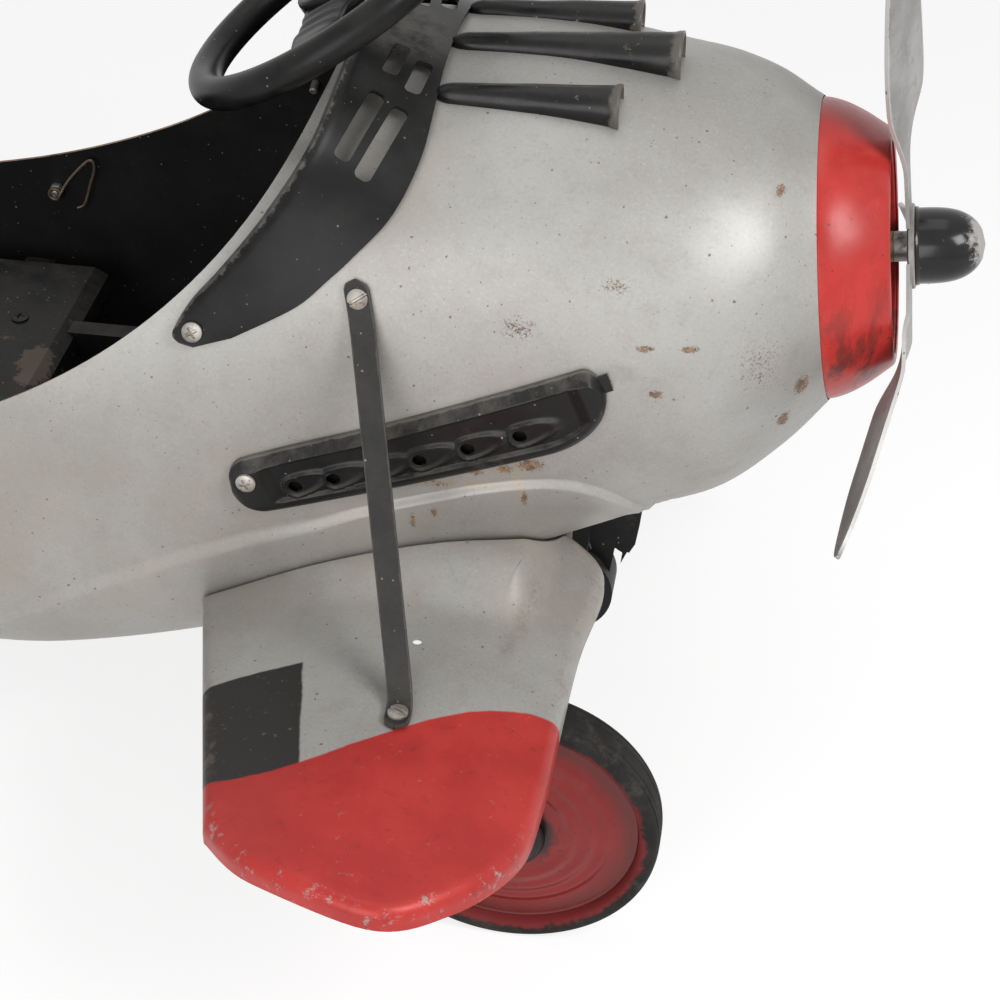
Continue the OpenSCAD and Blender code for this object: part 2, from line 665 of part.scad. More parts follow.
module exhaust_plate() {
    color(black_paint) difference() {
        union() {
            loft([for (i = [0 : exhaust_steps]) exhaust_ring(exhaust_d(i))]);
            loft([for (d = [-exhaust_brow, 5]) exhaust_lug_ring(exhaust_len + d)]);
        }
        for (k = [0 : exhaust_holes - 1]) {
            u = k / (exhaust_holes - 1);
            d = lerp(exhaust_first, exhaust_last, u) - exhaust_bow * u * (1 - u);
            skin_hole(exhaust_spot(d, exhaust_mid(d) - exhaust_drop), exhaust_hole_r);
        }
        skin_hole(exhaust_screw);
        skin_hole(exhaust_screw, bolt_head_r + side_gap, exhaust_proud);
    }
}
module exhaust_plate_left() {
    exhaust_plate();
}
module exhaust_plate_right() {
    mirror([0, 1, 0]) exhaust_plate();
}
module exhaust_screws() {
    color(bare_steel) both_sides() skin_bolt(exhaust_screw, exhaust_proud + run_gap);
}

// Wings: the outline runs from the root's trailing edge round the tip to the root's leading edge
wing_crest_x = axle_x - 75;
wing_middle = [axle_x - 75, wing_half_span - 150];
wing_root_x = [axle_x - wing_back, axle_x + wing_front];
wing_swell_x = [190, 26];
wing_swell_y = [30, 50];
function wing_swell(x, y) = wing_rise * smooth((x - wing_root_x[0] - 10) / wing_swell_x[0])
    * smooth((wing_root_x[1] - x) / wing_swell_x[1])
    * smooth((wing_hole[1] - wing_swell_y[0] - y) / wing_swell_y[1]);
function wing_top(x, y) =
    wing_z - wing_camber * pow((x - wing_crest_x) / (wing_back - 75), 2) + wing_swell(x, y);
wing_root_min_y = rail_y + 10;
wing_root_gap = 1.5 * skin_gap;
key_steps = 3;
root_steps = 12;
edge_steps = 4;
top_rings = [0.03, 0.3, 0.55, 0.68, 0.8, 0.9];
wing_root_edge = [for (x = wing_root_x) [x, max(skin_y(x, wing_top(x, 0)), wing_root_min_y)]];
wing_keys = [
    [axle_x - 159, wing_half_span - 60], [axle_x - 122, wing_half_span - 26], [axle_x - 47, wing_half_span],
    [axle_x - 3, wing_half_span - 25], [axle_x + 28, wing_half_span - 73],
    [axle_x + 35, wing_half_span - 125], [axle_x + 36, wing_half_span - 190],
    [axle_x + 38, wing_half_span - 270],
    wing_root_edge[1] + [29, 38], wing_root_edge[1] + [22, 15], wing_root_edge[1]];
wing_edge = concat(
    [for (t = [0 : 0.25 : 0.8]) lerp(wing_root_edge[0], wing_keys[0], t)],
    [for (i = [0 : key_steps * (len(wing_keys) - 1)]) through(wing_keys, i / key_steps)]);
function wing_root_y(x, z) =
    max(skin_y(x, z) + wing_root_gap / max(0.3, skin_normal(x, z)[1]), wing_root_min_y);
function wing_edge_inset(i, inset) =
    let (a = wing_edge[max(i - 1, 0)], b = wing_edge[min(i + 1, len(wing_edge) - 1)], d = unit(b - a))
    wing_edge[i] + inset * [d[1], -d[0]];
function wing_plan(inset, drop, wall) =
    let (x0 = wing_root_x[0] + inset, x1 = wing_root_x[1] - inset)
    concat(
        [for (i = [1 : len(wing_edge) - 2]) wing_edge_inset(i, inset)],
        [for (k = [0 : root_steps])
            let (x = lerp(x1, x0, k / root_steps))
            [x, wing_root_y(x, wing_top(x, 0) - drop) + wall]]);
function wing_ring(inset, drop, wall, share = 1) =
    [for (p = wing_plan(inset, drop, wall))
        let (q = lerp(wing_middle, p, share)) [q[0], q[1], wing_top(q[0], q[1]) - drop]];
wing_outer_rings = concat(
    [for (f = top_rings) wing_ring(wing_edge_r, 0, 0, f)],
    [for (i = [0 : edge_steps]) let (a = 90 * i / edge_steps)
        wing_ring(wing_edge_r * (1 - sin(a)), wing_edge_r * (1 - cos(a)), 0)]);
wing_inner_rings = concat(
    [for (i = [edge_steps : -1 : 0])
        let (a = 90 * i / edge_steps, r = wing_edge_r - wing_t)
        wing_ring(wing_edge_r - r * sin(a), wing_edge_r - r * cos(a), wing_t)],
    [for (k = [len(top_rings) - 1 : -1 : 0]) wing_ring(wing_edge_r, wing_t, wing_t, top_rings[k])]);
wing_rings = concat(
    wing_outer_rings,
    [wing_ring(0, wing_flange, 0), wing_ring(wing_t, wing_flange, wing_t)],
    wing_inner_rings);
module wing() {
    color(silver_paint) difference() {
        loft(wing_rings);
        translate([wing_hole[0], wing_hole[1], wing_z - 30]) cylinder(r = wing_hole_r, h = 40);
        translate([strut_foot[0], strut_foot[1], wing_z - 30]) cylinder(r = bolt_r + run_gap, h = 40);
    }
}
module wing_left() {
    wing();
}
module wing_right() {
    mirror([0, 1, 0]) wing();
}

// Wing struts: flat straps, bent to lie on the fuselage at the top and on the wing at the foot
strut_lap = 12;
strut_foot_z = wing_z + skin_gap;
strut_top_at = skin_point(strut_top[0], strut_top[1], skin_gap);
strut_top_n = skin_normal(strut_top[0], strut_top[1]);
strut_reach = [strut_foot[0], strut_foot[1], strut_foot_z] - strut_top_at;
strut_down = unit(strut_reach - strut_top_n * (strut_reach * strut_top_n));
strut_path = [
    strut_top_at - strut_down * strut_lap,
    strut_top_at + strut_down * strut_lap,
    [strut_foot[0], strut_foot[1] - strut_lap, strut_foot_z],
    [strut_foot[0], strut_foot[1] + strut_lap, strut_foot_z]];
strut_fall = unit(strut_path[2] - strut_path[1]);
strut_fall_n = unit([0, -strut_fall[2], strut_fall[1]]);
strut_normals = [strut_top_n, unit(strut_top_n + strut_fall_n), unit(strut_fall_n + [0, 0, 1]), [0, 0, 1]];
strut_miter = [1, 1 / (strut_normals[1] * strut_top_n), 1 / (strut_normals[2] * [0, 0, 1]), 1];
function strut_ring(i) =
    let (p = strut_path[i], n = strut_normals[i] * strut_t * strut_miter[i], h = [strut_w / 2, 0, 0])
    [p - h, p + h, p + h + n, p - h + n];
module wing_strut() {
    color(black_paint) difference() {
        loft([for (i = [0 : 3]) strut_ring(i)]);
        skin_hole(strut_top);
        translate([strut_foot[0], strut_foot[1], wing_z - 20]) cylinder(r = bolt_r + run_gap, h = 40);
    }
}
module wing_strut_left() {
    wing_strut();
}
module wing_strut_right() {
    mirror([0, 1, 0]) wing_strut();
}
module strut_bolts() {
    color(bare_steel) both_sides() {
        skin_bolt(strut_top, skin_gap + strut_t);
        translate([strut_foot[0], strut_foot[1], strut_foot_z + strut_t]) {
            cylinder(r = bolt_head_r, h = bolt_head_h);
            translate([0, 0, -strut_t - wing_t - 12]) cylinder(r = bolt_r, h = strut_t + wing_t + 12);
            translate([0, 0, -strut_t - wing_t - 9]) cylinder(r = 2 * bolt_r, h = 6, $fn = 6);
        }
    }
}

// Seat
seat_z = rail_top;
seat_front_x = seat_x + 20;
seat_rear_x = cockpit_back_x + 40;
seat_bolt_x = [seat_front_x - 40, seat_rear_x + 36];
module seat_pan() {
    path = [[seat_front_x + 5, seat_z - 14], [seat_front_x + 3, seat_z - 4],
        [seat_front_x - 6, seat_z + seat_t / 2], [seat_rear_x, seat_z + seat_t / 2]];
    color(black_paint) difference() {
        slab_xz(-seat_half_w, seat_half_w) polygon(thick_path(path, seat_t));
        rail_slots();
        for (x = seat_bolt_x)
            both_sides() translate([x, rail_y, seat_z - 5]) cylinder(r = bolt_r + run_gap, h = 20);
    }
}
module rail_slots() {
    both_sides() box([seat_front_x - 20, rail_y - rail_w / 2 - side_gap, rail_z],
        [seat_front_x + 20, rail_y + rail_w / 2 + side_gap, seat_z]);
}
module seat_back() {
    foot_x = seat_rear_x + 2;
    path = [[foot_x + 22, seat_z + 1.5 * seat_t], [foot_x, seat_z + 1.5 * seat_t],
        [foot_x - 8, seat_z + 14], [foot_x - 26, deck_z - 40]];
    color(black_paint) slab_xz(-seat_half_w * 0.72, seat_half_w * 0.72) polygon(thick_path(path, seat_t));
}
module seat_bolts() {
    color(bare_steel) both_sides() {
        for (x = seat_bolt_x)
            translate([x, rail_y, 0]) {
                translate([0, 0, seat_z + seat_t]) cylinder(r = bolt_head_r, h = bolt_head_h);
                translate([0, 0, seat_z - rail_t - 6]) cylinder(r = bolt_r, h = seat_t + rail_t + 6);
            }
        skin_bolt(wall_bolt, skin_gap);
    }
}

// Frame
module frame_rail() {
    color(black_paint) difference() {
        box([rail_rear, rail_y - rail_w / 2, rail_z], [rail_front, rail_y + rail_w / 2, rail_top]);
        box([rail_rear - 1, rail_y - rail_w / 2 + rail_t, rail_z + rail_t],
            [rail_front + 1, rail_y + rail_w / 2 - rail_t, rail_top - rail_t]);
        for (x = seat_bolt_x)
            translate([x, rail_y, rail_top - 8]) cylinder(r = bolt_r + run_gap, h = 20);
    }
}
module frame_rail_left() {
    frame_rail();
}
module frame_rail_right() {
    mirror([0, 1, 0]) frame_rail();
}
cross_x = [axle_x - 110, seat_x - 46, tail_pivot_x + 55];
module frame_cross_members() {
    color(black_paint) for (x = cross_x) {
        reach = min([for (side = [-1, 1]) skin_y(x + side * cross_w / 2, rail_z - cross_h, shell_t)]);
        box([x - cross_w / 2, 1 - reach, rail_z - cross_h], [x + cross_w / 2, reach - 1, rail_z]);
    }
}
hanger_eye_r = axle_r + 10;
axle_bush_r = axle_r + 4;
module axle_hanger() {
    color(black_paint) difference() {
        slab_xz(rail_y - hanger_t / 2, rail_y + hanger_t / 2) union() {
            translate([axle_x, axle_z]) circle(r = hanger_eye_r);
            polygon([[axle_x - hanger_eye_r, axle_z], [axle_x + hanger_eye_r, axle_z],
                [axle_x + 30, rail_z], [axle_x - 30, rail_z]]);
        }
        rod_y(axle_x, axle_z, axle_bush_r, 0, 2 * rail_y);
    }
}
module axle_hanger_left() {
    axle_hanger();
}
module axle_hanger_right() {
    mirror([0, 1, 0]) axle_hanger();
}
// Bracket: a bent plate against the right hanger's inner face, flanged in front and torn off below
bracket_t = 3;
bracket_flange = 16;
bracket_hole = [35.5, -44.5];
bracket_hole_r = 9;
bracket_top = [[4, -22], [30, -19], [45, -13]];
bracket_front = [[61.5, -4], [60, -23], [57.5, -40], [53.5, -48]];
bracket_torn = [[49, -59], [50, -49], [45, -45.5], [24, -50], [4, -50]];
module axle_bracket() {
    face = rail_y - hanger_t / 2;
    color(black_paint) mirror([0, 1, 0]) translate([axle_x, 0, rail_z]) difference() {
        union() {
            slab_xz(face - bracket_t, face) polygon(concat(bracket_top, bracket_front, bracket_torn));
            slab_xz(face - bracket_flange, face) polygon(thick_path(bracket_front, bracket_t));
        }
        rod_y(bracket_hole[0], bracket_hole[1], bracket_hole_r, 0, rail_y);
    }
}
module axle_bushes() {
    color(bronze) both_sides() difference() {
        rod_y(axle_x, axle_z, axle_bush_r, rail_y - hanger_t, rail_y + hanger_t);
        rod_y(axle_x, axle_z, axle_r + run_gap, rail_y - 20, rail_y + 20);
    }
}

// Chain drive
function pitch_r(teeth) = chain_pitch / (2 * sin(180 / teeth));
crank_pitch_r = pitch_r(crank_teeth);
axle_pitch_r = pitch_r(axle_teeth);
tooth_h = chain_pitch * 0.3;
plate_half_h = chain_pitch * 0.36;
plate_t = 1.6;
guard_t = 2;
guard_half = 14;
chain_room = 2;
drum_r = 39;
drum_left = 8;
drum_right = 22;
hanger_inner = chain_y + guard_half;
chain_inner = sprocket_t / 2 + side_gap;
chain_outer = chain_inner + plate_t;
axle_at = [axle_x, axle_z];
crank_at = [crank_x, crank_z];
module sprocket(teeth, r) {
    step = 360 / teeth;
    polygon([for (k = [0 : teeth - 1]) each [
        (r - tooth_h) * [cos(k * step), sin(k * step)],
        (r - tooth_h) * [cos((k + 0.3) * step), sin((k + 0.3) * step)],
        (r + tooth_h) * [cos((k + 0.55) * step), sin((k + 0.55) * step)],
        (r + tooth_h) * [cos((k + 0.75) * step), sin((k + 0.75) * step)]]]);
}
module chain() {
    d = crank_at - axle_at;
    lean = asin((crank_pitch_r - axle_pitch_r) / norm(d));
    away = atan2(d[1], d[0]);
    run = norm(d) * cos(lean);
    links = floor(run / chain_pitch) - 4;
    color(bare_steel) {
        for (y = [chain_y - chain_outer, chain_y + chain_inner])
            slab_xz(y, y + plate_t) difference() {
                polygon(belt(axle_at, axle_pitch_r + plate_half_h, crank_at, crank_pitch_r + plate_half_h));
                polygon(belt(axle_at, axle_pitch_r - plate_half_h, crank_at, crank_pitch_r - plate_half_h));
            }
        for (side = [-1, 1])
            for (k = [2 : links + 1]) {
                a = away + side * (90 + lean);
                p = axle_at + axle_pitch_r * [cos(a), sin(a)]
                    + k * chain_pitch * [cos(away + side * lean), sin(away + side * lean)];
                rod_y(p[0], p[1], chain_pitch * 0.25, chain_y - chain_outer, chain_y + chain_outer);
            }
    }
}
module chain_guard() {
    share = (rail_top - axle_z) / (crank_z - axle_z);
    top = lerp(axle_at, crank_at, share);
    low_r = axle_pitch_r + plate_half_h + chain_room;
    top_r = lerp(axle_pitch_r, crank_pitch_r, share) + plate_half_h + chain_room;
    color(black_paint) difference() {
        union() {
            rod_y(axle_x, axle_z, drum_r, chain_y - drum_right, chain_y + drum_left);
            slab_xz(chain_y - guard_half, chain_y + guard_half)
                polygon(belt(axle_at, low_r + guard_t, top, top_r + guard_t));
        }
        rod_y(axle_x, axle_z, drum_r - guard_t,
            chain_y - drum_right + guard_t, chain_y + drum_left - guard_t);
        slab_xz(chain_y - guard_half + guard_t, chain_y + guard_half - guard_t)
            polygon(belt(axle_at, low_r, top, top_r));
        box([axle_x - 100, -100, rail_top], [axle_x + 120, 100, rail_top + 100]);
        rod_y(axle_x, axle_z, axle_r + 4, -100, 100);
    }
}
foot_x = [axle_x - 38, axle_x + 29];
foot_len = 16;
foot_h = 12;
crank_plate_t = 4;
module crank_hangers() {
    color(black_paint) both_sides() difference() {
        union() {
            slab_xz(hanger_inner, hanger_inner + crank_plate_t) union() {
                translate(crank_at) circle(r = crank_r + 11);
                polygon([[crank_x - crank_r - 11, crank_z],
                    [foot_x[0], rail_top], [foot_x[0], rail_top - foot_h],
                    [foot_x[1] + foot_len, rail_top - foot_h], [foot_x[1] + foot_len, rail_top],
                    [crank_x + crank_r + 11, crank_z]]);
            }
            for (x = foot_x)
                box([x, hanger_inner, rail_top - foot_h], [x + foot_len, rail_y - rail_w / 2, rail_top]);
        }
        rod_y(crank_x, crank_z, crank_r + run_gap, 0, 100);
    }
}
module main_axle() {
    color(bare_steel) {
        rod_y(axle_x, axle_z, axle_r, -hub_end - 3, hub_end + 3);
        for (y = [-rail_y - hanger_t - side_gap - 8, rail_y + hanger_t + side_gap])
            rod_y(axle_x, axle_z, axle_r + 5, y, y + 8);
    }
}
module axle_sprocket() {
    color(bare_steel) difference() {
        union() {
            slab_xz(chain_y - sprocket_t / 2, chain_y + sprocket_t / 2)
                translate(axle_at) sprocket(axle_teeth, axle_pitch_r);
            rod_y(axle_x, axle_z, axle_r + 6, chain_y - 8, chain_y + 8);
        }
        rod_y(axle_x, axle_z, axle_r, -50, 60);
    }
}
crank_arm_t = 8;
arm_inner = hanger_inner + crank_plate_t + side_gap + 1.5;
pedal_inner = arm_inner + crank_arm_t + side_gap;
pedal_outer = pedal_inner + pedal_w;
pedal_pin_r = 5;
module crank_shaft() {
    color(bare_steel) {
        rod_y(crank_x, crank_z, crank_r, -arm_inner - crank_arm_t, arm_inner + crank_arm_t);
        for (side = [1, -1]) {
            tip = crank_at + side * [crank_arm, 0];
            y0 = side > 0 ? arm_inner : -arm_inner - crank_arm_t;
            slab_xz(y0, y0 + crank_arm_t) polygon(belt(crank_at, crank_r + 5, tip, pedal_pin_r + 4));
            rod_y(tip[0], tip[1], pedal_pin_r, side > 0 ? arm_inner : -pedal_outer - 2,
                side > 0 ? pedal_outer + 2 : -arm_inner);
        }
    }
}
module crank_sprocket() {
    color(bare_steel) difference() {
        union() {
            slab_xz(chain_y - sprocket_t / 2, chain_y + sprocket_t / 2) difference() {
                translate(crank_at) sprocket(crank_teeth, crank_pitch_r);
                for (a = [0 : 72 : 359])
                    translate(crank_at + crank_pitch_r * 0.6 * [cos(a), sin(a)])
                        circle(r = crank_pitch_r * 0.2);
            }
            rod_y(crank_x, crank_z, crank_r + 6, chain_y - 7, chain_y + 7);
        }
        rod_y(crank_x, crank_z, crank_r, -50, 60);
    }
}
module pedal(x) {
    color(rubber) difference() {
        slab_xz(pedal_inner, pedal_outer) difference() {
            translate([x - pedal_len / 2, crank_z - pedal_h / 2]) square([pedal_len, pedal_h]);
            for (dx = [-24, -16, 16, 24], z = [-1, 1])
                translate([x + dx, crank_z + z * pedal_h / 2]) square([3, 4], center = true);
        }
        rod_y(x, crank_z, pedal_pin_r + run_gap, 0, 2 * pedal_outer);
    }
}
module pedal_left() {
    pedal(crank_x + crank_arm);
}
module pedal_right() {
    mirror([0, 1, 0]) pedal(crank_x - crank_arm);
}

// Main wheels, about the Y axis, with the outer face of the tyre at height 0
hub_end = track_half + 3;
hub_r = axle_r + 8;
rib_pitch = 11.5;
disc_sheet = 1.6;
disc_steps = 44;
function disc_face(r) =
    let (rib = r > 38 && r < 72 ? 0.6 * (1 - cos(360 * (r - 38) / rib_pitch)) : 0)
    -8 + 6 * smooth((disc_r - 6 - r) / 40) + rib;
module at_wheel() {
    translate([axle_x, track_half, axle_z]) rotate([-90, 0, 0]) children();
}
module wheel_disc(bore) {
    rim_in = disc_r - 1.6;
    hub_low = -tyre_w - 8;
    hub_top = hub_end - track_half;
    radii = [for (i = [0 : disc_steps]) lerp(hub_r, rim_in - disc_sheet, i / disc_steps)];
    color(red_paint) at_wheel() rotate_extrude($fn = 96)
        polygon(concat(
            [[bore, hub_low], [hub_r, hub_low]],
            [for (r = radii) [r, disc_face(r) - disc_sheet]],
            [[rim_in - disc_sheet, 3 - tyre_w], [rim_in, 3 - tyre_w], [rim_in, disc_face(rim_in)]],
            [for (i = [disc_steps : -1 : 0]) [radii[i], disc_face(radii[i])]],
            [[hub_r, hub_top], [bore, hub_top]]));
}
module tyre() {
    mid = (wheel_r + disc_r - 1.6) / 2;
    half = (wheel_r - disc_r + 1.6) / 2;
    color(rubber) at_wheel() rotate_extrude($fn = 96)
        polygon([for (i = [0 : 31]) let (a = 360 * i / 32)
            [mid + half * signed_pow(sin(a), 0.55), -tyre_w / 2 + tyre_w / 2 * signed_pow(cos(a), 0.55)]]);
}
module hub_cap() {
    cap_r = hub_r + 10;
    cap_h = 9;
    dome = [for (i = [0 : 8]) let (a = 90 * i / 8) [cap_r * pow(cos(a), 0.5), cap_h * sin(a)]];
    color(black_paint) at_wheel() translate([0, 0, hub_end - track_half])
        rotate_extrude($fn = 64) difference() {
        polygon(concat([[0, 0]], dome));
        translate([-1, -1]) square([axle_r + 2.5, 6.5]);
    }
}
module wheel_disc_right() {
    mirror([0, 1, 0]) wheel_disc(axle_r);
}
module tyre_right() {
    mirror([0, 1, 0]) tyre();
}
module hub_cap_right() {
    mirror([0, 1, 0]) hub_cap();
}
module wheel_disc_left() {
    wheel_disc(axle_r + run_gap);
}
module tyre_left() {
    tyre();
}
module hub_cap_left() {
    hub_cap();
}

// Steering
column_bush_r = column_r + 5;
column_len = 140;
bracket_s = 72;
bracket_len = 26;
bush_len = bracket_len + 6;
spoke_angles = [180, 90, -90];
spoke_t = 9;
module steering_wheel() {
    rim_mid = steer_r - steer_rim_r;
    hub = 26;
    color(black_paint) at_column() difference() {
        union() {
            rotate_extrude($fn = 96) translate([rim_mid, 0]) circle(r = steer_rim_r);
            for (a = spoke_angles)
                rotate([0, 0, a]) translate([0, 0, -spoke_t / 2]) linear_extrude(height = spoke_t)
                    polygon([[0, -spoke_hub_w / 2], [rim_mid, -spoke_rim_w / 2],
                        [rim_mid, spoke_rim_w / 2], [0, spoke_hub_w / 2]]);
            rotate_extrude($fn = 64)
                polygon([[0, -16], [16, -16], [18, -9], [hub, -8], [hub, 8], [column_r + 8, 12], [0, 12]]);
        }
        translate([0, 0, -10]) cylinder(r = column_r, h = 60);
    }
}
module steering_column() {
    color(bare_steel) at_column(-10) cylinder(r = column_r, h = column_len + 10);
}
module steering_arm() {
    color(bare_steel) at_column(column_len - 10) difference() {
        union() {
            cylinder(r = column_r + 6, h = 10);
            translate([0, 0, 2]) linear_extrude(height = 6)
                polygon(belt([0, 0], column_r + 5, [0, -steer_arm], 9));
        }
        translate([0, 0, -1]) cylinder(r = column_r, h = 20);
    }
}
module column_bush() {
    color(bronze) at_column(bracket_s + bracket_len / 2 - bush_len / 2) difference() {
        cylinder(r = column_bush_r, h = bush_len);
        translate([0, 0, -1]) cylinder(r = column_r + run_gap, h = bush_len + 2);
    }
}
module column_bracket() {
    mid = bracket_s + bracket_len / 2;
    at = [steer_x + mid * cos(column_slope), steer_z - mid * sin(column_slope)];
    top = min(skin_top(at[0] - 22, 18, shell_t), skin_top(at[0] + 22, 18, shell_t)) - 1;
    color(black_paint) difference() {
        union() {
            at_column(bracket_s) cylinder(r = column_bush_r + 4, h = bracket_len);
            box([at[0] - 2, -4, at[1]], [at[0] + 22, 4, top]);
            box([at[0] - 22, -18, top - 3], [at[0] + 22, 18, top]);
        }
        at_column() cylinder(r = column_bush_r, h = column_len);
    }
}

// Drag link: a bent rod from beside the steering arm, along the right wall and under the seat to the tiller
column_end = column_len - 5;
arm_tip_x = steer_x + column_end * cos(column_slope);
arm_tip_z = steer_z - column_end * sin(column_slope);
link_y = -body_half_w + 60;
link_z = rail_z - 32;
tiller_z = rail_top + 6;
tiller_t = 6;
link_eye_r = 9;
link_eye_t = 7;
link_front = [arm_tip_x, -steer_arm - 9 - side_gap - link_eye_t, arm_tip_z];
link_rear = [tail_pivot_x, tiller_arm, tiller_z + tiller_t + side_gap];
link_path = [
    link_front + [0, link_eye_t / 2, 0],
    link_front + [-48, -40, -50],
    [axle_x - 175, link_y, link_z + 20],
    [axle_x - 215, link_y, link_z],
    [seat_rear_x + 40, link_y, link_z],
    [seat_rear_x - 12, -25, link_z + 4],
    [link_rear[0] + 80, 25, link_rear[2] + link_r],
    link_rear + [0, 0, link_r]];
link_sides = 12;
function link_ring(i) =
    let (p = link_path, n = len(p), into = i == 0 ? p[1] - p[0] : p[i] - p[i - 1],
        out = i == n - 1 ? into : p[i + 1] - p[i], d = unit(unit(into) + unit(out)),
        u = unit(cross(d, [0.2, 0.3, 1])), v = cross(d, u))
    [for (k = [0 : link_sides - 1]) let (a = 360 * k / link_sides) p[i] + link_r * (cos(a) * u + sin(a) * v)];
module drag_link() {
    color(bare_steel) {
        loft([for (i = [0 : len(link_path) - 1]) link_ring(i)]);
        rod_y(link_front[0], link_front[2], link_eye_r, link_front[1], link_front[1] + link_eye_t);
        translate(link_rear) cylinder(r = link_eye_r, h = 2 * link_r);
    }
}
module rod_guide() {
    x = seat_x + 20;
    color(black_paint) difference() {
        union() {
            box([x - 10, link_y - 12, link_z - 12], [x + 10, link_y + 12, link_z + 12]);
            box([x - 10, link_y - 12, link_z + 10], [x + 10, link_y + 12, rail_z - cross_h / 2]);
            box([x - 10, link_y - 12, rail_z - cross_h], [x + 10, rail_w / 2 - rail_y, rail_z]);
        }
        translate([x - 50, link_y, link_z]) rotate([0, 90, 0]) cylinder(r = link_r + skin_gap, h = 100);
    }
}

// Tail
tailplane_z = tail_z - 2;
fin_low_z = tailplane_z + tail_t + 6;
fin_front_x = tail_x + 135;
module tailplane() {
    x0 = tail_slot[0];
    c = tailplane_chord;
    half = concat(
        [[x0 + c, 0], [x0 + c, 40]],
        arc([x0 + c * 0.55, tailplane_half - c * 0.3], c * 0.3, 20, 90, 8),
        arc([x0 + 20, tailplane_half - 20], 20, 90, 180, 8),
        [[x0, 30], [x0 + 18, 0]]);
    color(red_paint) translate([0, 0, tailplane_z]) linear_extrude(height = tail_t)
        polygon(concat(half, [for (i = [len(half) - 2 : -1 : 1]) [half[i][0], -half[i][1]]]));
}
module tail_fin() {
    color(red_paint) slab_xz(-tail_t / 2, tail_t / 2)
        polygon(concat(
            [[tail_x - 5, fin_low_z], [fin_front_x, fin_low_z]],
            [[fin_front_x, fuselage_at(fin_front_x, 1) - 4]],
            arc([tail_x + 38, fin_top_z - 30], 30, 60, 90, 6),
            arc([tail_x + 18, fin_top_z - 33], 33, 90, 180, 8)));
}
fork_top = 2 * tail_wheel_r + 15;
stem_top = tiller_z + tiller_t;
fork_in = tail_tyre_w / 2 + 5;
fork_t = 5;
tube_low = fork_top + side_gap;
tail_bore_r = tail_stem_r + run_gap;
module tail_bearing() {
    color(bare_steel) difference() {
        union() {
            translate([tail_pivot_x, 0, tube_low])
                cylinder(r = tail_tube_r, h = tiller_z - side_gap - tube_low);
            box([tail_pivot_x - 30, -rail_y - rail_w / 2, rail_z - 4],
                [tail_pivot_x + 30, rail_y + rail_w / 2, rail_z]);
        }
        translate([tail_pivot_x, 0, 0]) cylinder(r = tail_bore_r, h = 400);
    }
}
module tail_fork() {
    color(bare_steel) difference() {
        union() {
            translate([tail_pivot_x, 0, fork_top - fork_t])
                cylinder(r = tail_stem_r, h = stem_top - fork_top + fork_t);
            box([tail_axle_x - 12, -fork_in - fork_t, fork_top - fork_t],
                [tail_pivot_x + 16, fork_in + fork_t, fork_top]);
            both_sides() slab_xz(fork_in, fork_in + fork_t) union() {
                translate([tail_axle_x, tail_wheel_r]) circle(r = 13);
                polygon([[tail_axle_x - 12, fork_top], [tail_axle_x - 13, tail_wheel_r],
                    [tail_axle_x + 13, tail_wheel_r], [tail_pivot_x + 16, fork_top]]);
            }
        }
        rod_y(tail_axle_x, tail_wheel_r, 5, -100, 100);
    }
}
module tail_tiller() {
    color(bare_steel) translate([tail_pivot_x, 0, tiller_z]) difference() {
        linear_extrude(height = tiller_t) polygon(belt([0, 0], tail_stem_r + 6, [0, tiller_arm], 9));
        translate([0, 0, -1]) cylinder(r = tail_stem_r, h = 20);
    }
}
module tail_axle() {
    reach = fork_in + fork_t;
    color(bare_steel) {
        rod_y(tail_axle_x, tail_wheel_r, 5, -reach - 8, reach + 8);
        for (y = [-reach - 5, reach])
            rod_y(tail_axle_x, tail_wheel_r, 9, y, y + 5);
    }
}
tail_disc_r = tail_wheel_r - 15;
module at_tail_wheel() {
    translate([tail_axle_x, 0, tail_wheel_r]) rotate([-90, 0, 0]) children();
}
module tail_wheel_disc() {
    color(red_paint) at_tail_wheel() rotate_extrude($fn = 64) difference() {
        union() {
            translate([0, -4]) square([tail_disc_r, 8]);
            translate([tail_disc_r - 5, 2 - tail_tyre_w / 2]) square([5, tail_tyre_w - 4]);
            translate([0, side_gap - fork_in]) square([12, 2 * (fork_in - side_gap)]);
        }
        translate([-1, -50]) square([6 + run_gap, 100]);
    }
}
module tail_tyre() {
    mid = (tail_wheel_r + tail_disc_r) / 2;
    half = (tail_wheel_r - tail_disc_r) / 2;
    color(rubber) at_tail_wheel() rotate_extrude($fn = 64)
        polygon([for (i = [0 : 31]) let (a = 360 * i / 32)
            [mid + half * signed_pow(sin(a), 0.7), tail_tyre_w / 2 * signed_pow(cos(a), 0.7)]]);
}

fuselage_shell();
nose_cowl();
nose_bulkhead();
prop_bush();
windshield_frame();
windshield_screws();
gun_cover_left();
gun_cover_center();
gun_cover_right();
exhaust_plate_left();
exhaust_plate_right();
exhaust_screws();
wing_left();
wing_right();
wing_strut_left();
wing_strut_right();
strut_bolts();
seat_pan();
seat_back();
seat_bolts();
frame_rail_left();
frame_rail_right();
frame_cross_members();
axle_hanger_left();
axle_hanger_right();
axle_bracket();
axle_bushes();
chain_guard();
chain();
crank_hangers();
column_bracket();
column_bush();
rod_guide();
tail_fin();
tailplane();
tail_bearing();
propeller();
spinner();
prop_shaft();
main_axle();
axle_sprocket();
wheel_disc_right();
tyre_right();
hub_cap_right();
wheel_disc_left();
tyre_left();
hub_cap_left();
crank_shaft();
crank_sprocket();
pedal_left();
pedal_right();
steering_wheel();
steering_column();
steering_arm();
drag_link();
tail_fork();
tail_tiller();
tail_axle();
tail_wheel_disc();
tail_tyre();
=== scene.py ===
from math import asin, cos, degrees, exp, hypot, pi, radians, sin, sqrt, tan

import bmesh
import bpy
from mathutils import Matrix, Vector, noise


